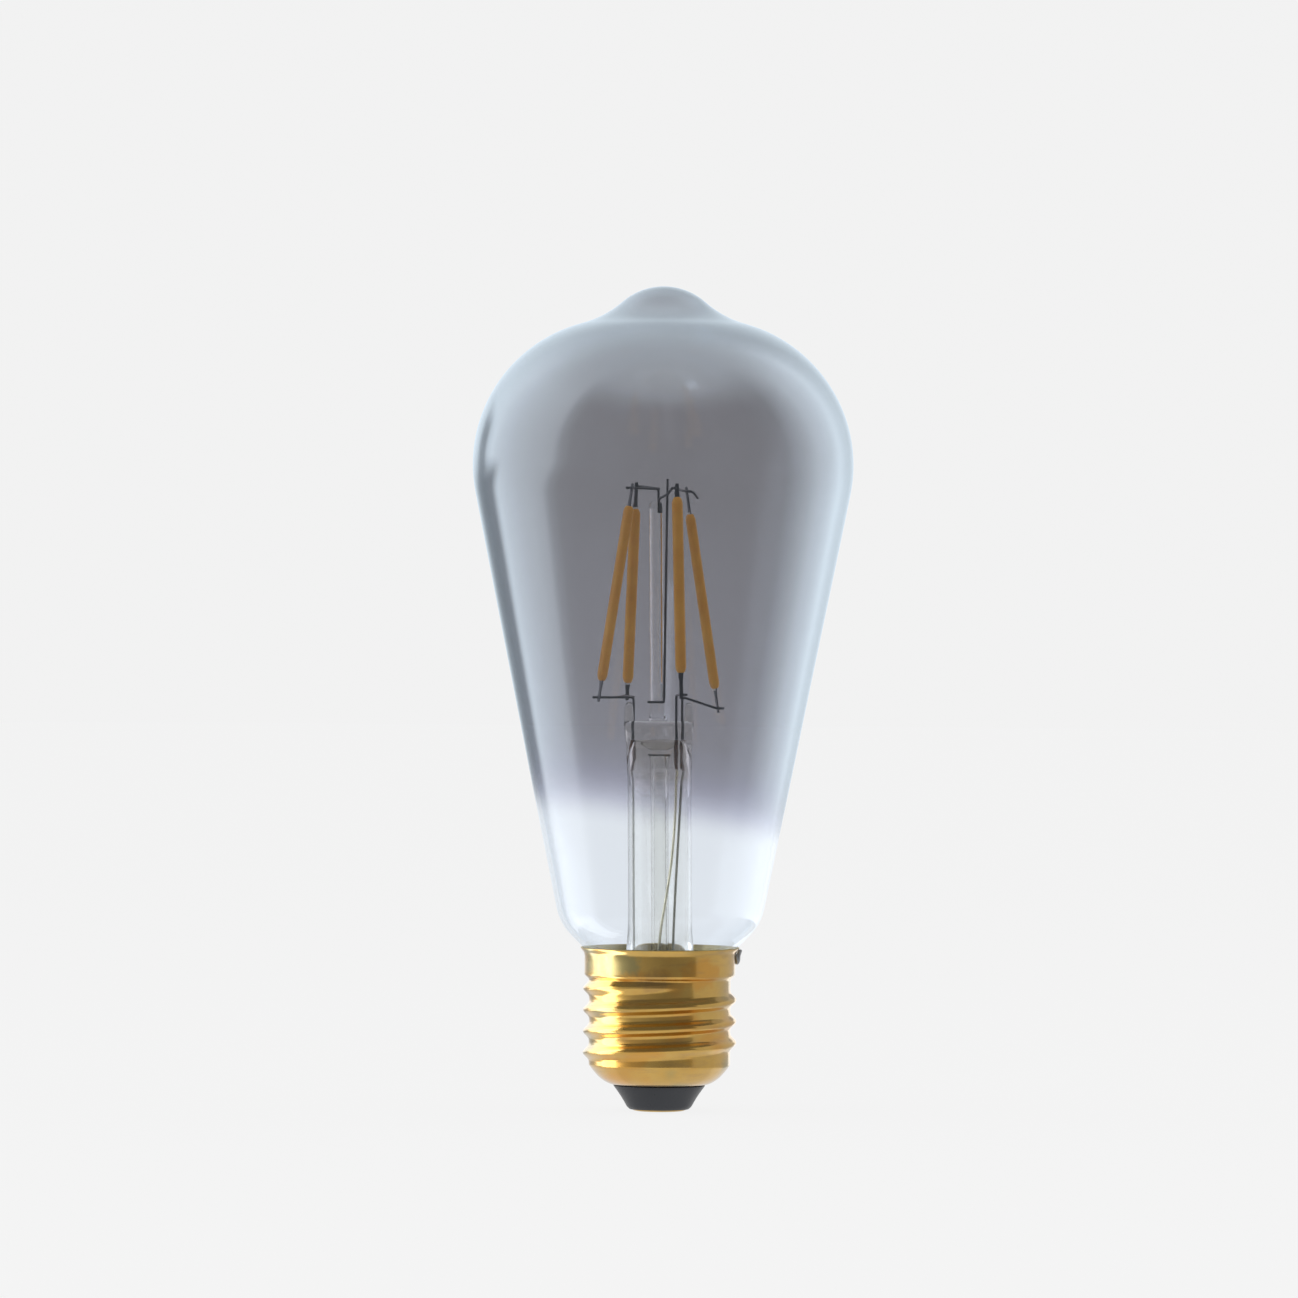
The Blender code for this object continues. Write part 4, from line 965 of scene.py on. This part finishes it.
def build_exhaust_tube():
    """Tube the bulb is pumped through: widened where it meets the press, melted shut at the other end."""
    tip, top = EXHAUST_TIP_Z, EXHAUST_TOP_Z
    straight = top - EXHAUST_STRAIGHT_END
    profile = [(r, tip + up) for r, up in EXHAUST_TIP]
    profile.extend((EXHAUST_RADIUS, z) for z in evenly(profile[-1][1], straight, TUBE_STEPS)[1:])
    profile.extend((r, top - down) for r, down in EXHAUST_FLARE)
    profile.extend((EXHAUST_BORE, z) for z in evenly(straight, tip + EXHAUST_BORE_END, TUBE_STEPS))
    profile.extend((r, tip + up) for r, up in EXHAUST_TIP_INSIDE)
    rings = lathe_rings(profile, TURNED_GLASS_SIDES, lambda z: (lean_x(z), 0.0))
    make_piece("exhaust_tube_glass", rings, ["rod_and_tube_glass"], ["exhaust_tube"], 60.0)


def build_arbor_rod():
    """Glass rod standing on the press, its top end melted round over the anchored wires."""
    foot, top = Vector(ROD_FOOT), Vector(ROD_TOP)
    height = top.z - foot.z
    profile = list(ROD_FOOT_PROFILE)
    profile.extend((ROD_RADIUS + ROD_WAVINESS * math.sin(1.1 * i), up)
                   for i, up in enumerate(evenly(2.4, height - 1.8, 16)))
    profile.extend((r, height - down) for r, down in ROD_TOP_PROFILE)
    rings = lathe_rings([(r, foot.z + up) for r, up in profile], TURNED_GLASS_SIDES,
                        lambda z: foot.lerp(top, (z - foot.z) / height).xy)
    make_piece("arbor_rod_glass", rings, ["rod_and_tube_glass"], ["arbor_rod"], 60.0)


# ---- filaments ----

def filament_frame(name):
    """Ends, axis, outward normal and side direction of one filament."""
    low, high = (Vector(p) for p in FILAMENTS[name][:2])
    axis = (high - low).normalized()
    middle = (low + high) / 2.0
    outward = Vector((middle.x - FILAMENT_CENTRE_X, middle.y, 0.0))
    outward = (outward - axis * outward.dot(axis)).normalized()
    return low, high, axis, outward, axis.cross(outward)


def lay_along(piece, origin, axis, outward, side):
    """Move a piece made in its own axes: X runs along the filament, Y outward and Z sideways."""
    rotation = Matrix((axis, outward, side)).transposed().to_4x4()
    piece.matrix_world = Matrix.Translation(origin * MM) @ rotation


def build_coat(name):
    """Phosphor coat: rounded bar of cast silicone, a little uneven, with soft ends."""
    low, high, axis, outward, side = filament_frame(name)
    length = (high - low).length
    seed = Vector((low.x, low.y, 3.0))
    stations = list(COAT_END_STATIONS)
    stations += evenly(COAT_MIDDLE_FROM, length - COAT_MIDDLE_FROM, COAT_MIDDLE_STEPS)
    stations += [length - s for s in reversed(COAT_END_STATIONS)]
    rings = []
    for along in stations:
        end = min(along, length - along)
        swell = 0.42 + 0.58 * min(end / COAT_END_STATIONS[-1], 1.0) ** 0.42
        swell *= 1.0 + COAT_LUMPS * noise.noise(seed + Vector((along * 0.8, 0.0, 0.0)))
        ring = oval(COAT_HALF[0] * swell, COAT_HALF[1] * swell, 0.0, COAT_SQUARENESS, COAT_SIDES)
        rings.append([(along, y, x) for x, y, _ in ring])
    piece = make_piece("filament_coat_" + name, rings, ["phosphor_silicone"], ["phosphor_coat_" + name],
                       60.0)
    lay_along(piece, low, axis, outward, side)


def build_strip(name):
    """Ceramic carrier strip with its row of chips; only its two ends show past the coat."""
    low, high, axis, outward, side = filament_frame(name)
    length = (high - low).length
    start, end = -STRIP_OVERHANG, length + STRIP_OVERHANG
    top = STRIP_BOTTOM + STRIP_THICK
    pitch = length / CHIP_COUNT
    outline = [(start, STRIP_BOTTOM), (start, top)]
    for chip in range(CHIP_COUNT):
        outline.extend((pitch * (chip + 0.5 + dx), top + dy) for dx, dy in CHIP_OUTLINE)
    outline.extend([(end, top), (end, STRIP_BOTTOM)])
    rings = [[(a, b, offset) for a, b in outline] for offset in (-STRIP_HALF_WIDTH, STRIP_HALF_WIDTH)]
    piece = make_piece("filament_strip_" + name, rings, ["ceramic_strip"], ["chip_strip_" + name],
                       30.0)
    lay_along(piece, low, axis, outward, side)


def tab_frame(name, end_name):
    """Where a tab leaves its coated end, which way it runs, how far, and its two cross directions."""
    low, high, axis, outward, side = filament_frame(name)
    if end_name == "lower":
        return low, -axis, (low.z - FILAMENTS[name][2]) / axis.z, outward, -side
    return high, axis, (FILAMENTS[name][3] - high.z) / axis.z, outward, side


def build_tab(name, end_name):
    """Stamped end tab: a wide root under the coat, a narrower tongue with eased edges."""
    origin, along, reach, outward, _ = tab_frame(name, end_name)
    wide, narrow = TAB_HALF_WIDTH + TAB_ROOT_EXTRA, TAB_HALF_WIDTH
    widths = [(TAB_START, wide), (0.75, wide), (0.85, wide - 0.02), (1.05, narrow + 0.02), (1.2, narrow),
              (reach - 0.12, narrow), (reach - 0.03, narrow - 0.05), (reach, narrow - 0.14)]
    rings = []
    for a, half in widths:
        curl = 0.05 * math.sin(2.0 * a + origin.x)
        rings.append([(a, y + curl, x) for x, y, _ in oval(half, TAB_HALF_THICK, 0.0, 7.0, 24)])
    piece = make_piece(f"filament_tab_{end_name}_{name}", rings, ["plated_tab"], [f"{end_name}_tab_{name}"],
                       45.0)
    lay_along(piece, origin, along, outward, along.cross(outward))


def weld_point(name, end_name, toward):
    """Where a wire crosses a tab's edge: the point, the level outward direction and the side it is on."""
    origin, along, reach, outward, side = tab_frame(name, end_name)
    middle = origin + along * (reach - WELD_FROM_TAB_END)
    if side.dot(Vector(toward) - middle) < 0.0:
        side = -side
    place = middle + side * (TAB_HALF_WIDTH + WIRE_RADIUS + WELD_GAP)
    return place, Vector((outward.x, outward.y, 0.0)).normalized(), side


def weld_path(name, end_name, toward):
    """The last stretch of a wire along the edge of a tab: a point before it and a point past it."""
    place, radial, _ = weld_point(name, end_name, toward)
    return place - radial * WELD_LEAD_IN, place + radial * WELD_TAIL


def build_weld(name, end_name, toward):
    """Small fused bead between a wire and the edge of its tab."""
    place, _, side = weld_point(name, end_name, toward)
    centre = place - side * (WIRE_RADIUS + 0.5 * WELD_GAP)

    def bead_skin(direction):
        lump = 1.0 + 0.25 * noise.noise(direction * 1.6 + centre)
        return centre + direction * Vector(WELD_HALF) * lump
    make_piece(f"weld_{end_name}_{name}", ball_rings(10, 16, bead_skin), ["plated_tab"], (),
               80.0)


# ---- wires ----

def build_wire(name, node, points, bend, radius=WIRE_RADIUS, finish="nickel_wire"):
    make_piece(name, wire_rings(points, radius, bend), [finish], [node], 60.0)


def build_leads():
    """Three leads, each a tinned tail, a copper-clad seal wire and a nickel arm to a filament."""
    low, high = SEAL_Z
    for name, ((x, y), top, filament, finish, tail_path) in LEADS.items():
        tail = [(x, y, low - WELD_GAP), (x, y, low - 1.5), *tail_path]
        build_wire("tinned_tail_" + name, "lead_tail_" + name, tail, 3.5, finish=finish)
        seal = [(x, y, low), (x, y, 0.5 * (low + high)), (x, y, high)]
        build_wire("copper_clad_seal_" + name, "seal_wire_" + name, seal, 0.5, SEAL_RADIUS, "seal_wire")
        corner = (x, y, top)
        arm = [(x, y, high + WELD_GAP), corner, *weld_path(filament, "lower", corner)]
        build_wire("nickel_arm_" + name, "lead_arm_" + name, arm, 0.7)
        build_weld(filament, "lower", corner)


def build_cross_wire(name, node, end_name, start):
    """Short wire from a corner point out to a tab of the back left filament."""
    build_wire(name, node, [start, *weld_path("back_left", end_name, start)], 0.5)
    build_weld("back_left", end_name, start)


def build_top_wires():
    """Two wires anchored in the rod's top that hold the upper filament ends, and the centre support."""
    anchor_z = ROD_TOP[2] - ANCHOR_DEPTH
    corner = (*LEFT_ANCHOR, TOP_LEFT_BEND_Z)
    left = [(*LEFT_ANCHOR, anchor_z), corner, *weld_path("front_left", "upper", corner)]
    build_wire("nickel_top_front_left", "top_wire_front_left", left, 0.6)
    build_weld("front_left", "upper", corner)
    build_cross_wire("nickel_top_back_left", "top_wire_back_left", "upper", TOP_BACK_START)
    toward = TOP_RIGHT_BENDS[-1]
    front_beside, _ = weld_path("front_right", "upper", toward)
    right = [(*RIGHT_ANCHOR, anchor_z), *TOP_RIGHT_BENDS, front_beside,
             *weld_path("back_right", "upper", toward), TOP_RIGHT_END]
    build_wire("nickel_top_right", "top_wire_right", right, 0.7)
    build_weld("front_right", "upper", toward)
    build_weld("back_right", "upper", toward)
    build_wire("nickel_centre_support", "centre_support_wire", [SUPPORT_TOP, *SUPPORT_FOOT], 0.7)


def dress_kept_nodes():
    """Finishes for the CAD nodes that stay as they are, inside the cap."""
    for node, finish in KEPT_NODES.items():
        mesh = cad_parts[node].data
        mesh.materials.clear()
        mesh.materials.append(MATERIALS[finish])


# ---- stage, light and camera ----

def one_sided(tree, shader):
    """Show a shader on the front of a face and nothing on its back."""
    behind = add_node(tree, "NewGeometry").outputs["Backfacing"]
    set_surface(tree, mix_shaders(tree, behind, shader, add_node(tree, "BsdfTransparent")))


def glow(tree, brightness):
    return add_node(tree, "Emission", {"Color": grey(1.0), "Strength": brightness})


def build_floor():
    """Plain pale floor, even in tone up to the backdrop; from beneath it can be looked through."""
    mesh = bpy.data.meshes.new("floor")
    work = bmesh.new()
    bmesh.ops.create_circle(work, cap_ends=True, segments=96, radius=FLOOR_RADIUS)
    work.to_mesh(mesh)
    work.free()
    floor = link_object("floor", mesh)
    floor.location.z = -0.02 * MM
    tree = blank_material("pale_floor")
    matt = add_node(tree, "BsdfDiffuse", {"Color": grey(FLOOR_GREY)})
    even = glow(tree, FLOOR_GLOW)
    one_sided(tree, add_node(tree, "AddShader", {0: matt.outputs[0], 1: even.outputs[0]}))
    mesh.materials.append(MATERIALS["pale_floor"])
    floor.visible_glossy = False


def build_card(name, brightness, first_rail, second_rail, turns):
    """Card strung between two rails round the cap; only mirrors see it, and only from one side."""
    verts = []
    for degrees in evenly(*turns, CARD_STEPS):
        turn = math.radians(degrees)
        for radius, height in (first_rail, second_rail):
            verts.append(Vector((radius * math.sin(turn), -radius * math.cos(turn), height)) * MM)
    mesh = bpy.data.meshes.new(name)
    mesh.from_pydata(verts, [], [(i, i + 2, i + 3, i + 1) for i in range(0, 2 * CARD_STEPS, 2)])
    tree = blank_material(name)
    one_sided(tree, glow(tree, brightness))
    mesh.materials.append(MATERIALS[name])
    card = link_object(name, mesh)
    for kind in ("camera", "diffuse", "transmission", "shadow", "volume_scatter"):
        setattr(card, "visible_" + kind, False)


def build_world():
    """Pale surround, with softer and darker zones for reflections, as in a small studio tent."""
    world = bpy.data.worlds.new("studio")
    bpy.context.scene.world = world
    world.use_nodes = True
    tree = world.node_tree
    tree.nodes.clear()
    direction = add_node(tree, "TexCoord").outputs["Generated"]
    parts = add_node(tree, "SeparateXYZ", {0: direction})
    height = parts.outputs["Z"]
    front = math_node(tree, "MULTIPLY", parts.outputs["Y"], -1.0)
    turn = math_node(tree, "ARCTAN2", parts.outputs["X"], front)
    down = math_node(tree, "MINIMUM", height, 0.0)
    turn = math_node(tree, "MULTIPLY", turn, math_node(tree, "MULTIPLY_ADD", down, SQUEEZE_BELOW, 1.0))
    slant = math_node(tree, "MULTIPLY_ADD", down, math.radians(SLANT_BELOW), turn)
    around = remap(tree, slant, -math.pi, math.pi)
    top, middle, lower = (
        colour_ramp(tree, around, [((degrees + 180.0) / 360.0, tone / WORLD_PEAK) for degrees, tone in ring])
        for ring in (TOP_RING, MIDDLE_RING, LOWER_RING)
    )
    overhead, below = grey(OVERHEAD_GREY / WORLD_PEAK), grey(BELOW_GREY / WORLD_PEAK)
    lit = lower
    for (low, high), tone in zip(WORLD_BLENDS, (middle, top, overhead, below)):
        lit = mix_colour(tree, remap(tree, height, low, high, smooth=True), lit, tone)
    seen = add_node(tree, "LightPath").outputs["Is Camera Ray"]
    colour = mix_colour(tree, seen, lit, grey(BACKDROP_GREY / WORLD_PEAK))
    background = add_node(tree, "Background", {"Color": colour, "Strength": WORLD_PEAK})
    add_node(tree, "OutputWorld", {"Surface": background.outputs[0]})


def build_light(name, place, size, power):
    """Large soft lamp aimed at the middle of the bulb."""
    lamp = bpy.data.lights.new(name, "AREA")
    lamp.shape = "RECTANGLE"
    lamp.size, lamp.size_y = size
    lamp.energy = power
    holder = link_object(name, lamp)
    holder.location = place
    aim = Vector((0.0, 0.0, CAMERA_Z * MM)) - Vector(place)
    holder.rotation_euler = aim.to_track_quat("-Z", "Y").to_euler()
    holder.visible_camera = False
    holder.visible_glossy = False


def build_camera():
    lens = bpy.data.cameras.new("camera")
    lens.sensor_width = SENSOR_WIDTH
    lens.lens = SENSOR_WIDTH / 2.0 * CAMERA_DISTANCE / VIEW_HALF_WIDTH
    lens.clip_start = 0.05
    camera = link_object("camera", lens)
    camera.location = (CAMERA_X * MM, -CAMERA_DISTANCE * MM, CAMERA_Z * MM)
    camera.rotation_euler = (math.pi / 2.0, math.radians(CAMERA_ROLL), 0.0)
    bpy.context.scene.camera = camera


def build_studio():
    build_floor()
    build_world()
    for name, card in CARDS.items():
        build_card(name, *card)
    for name, lamp in LAMPS.items():
        build_light(name, *lamp)
    build_camera()
    scene = bpy.context.scene
    scene.view_settings.view_transform = "Standard"
    scene.cycles.transparent_max_bounces = 32


# ---- assembly ----

def build_bulb():
    make_materials()
    build_envelope()
    build_screw_shell()
    build_insulator()
    build_centre_contact()
    build_side_solder()
    build_stem()
    build_exhaust_tube()
    build_arbor_rod()
    for name in FILAMENTS:
        build_coat(name)
        build_strip(name)
        build_tab(name, "lower")
        build_tab(name, "upper")
    build_leads()
    build_cross_wire("nickel_lower_cross", "lower_cross_wire", "lower", LOWER_CROSS_START)
    build_top_wires()
    dress_kept_nodes()


build_bulb()
build_studio()
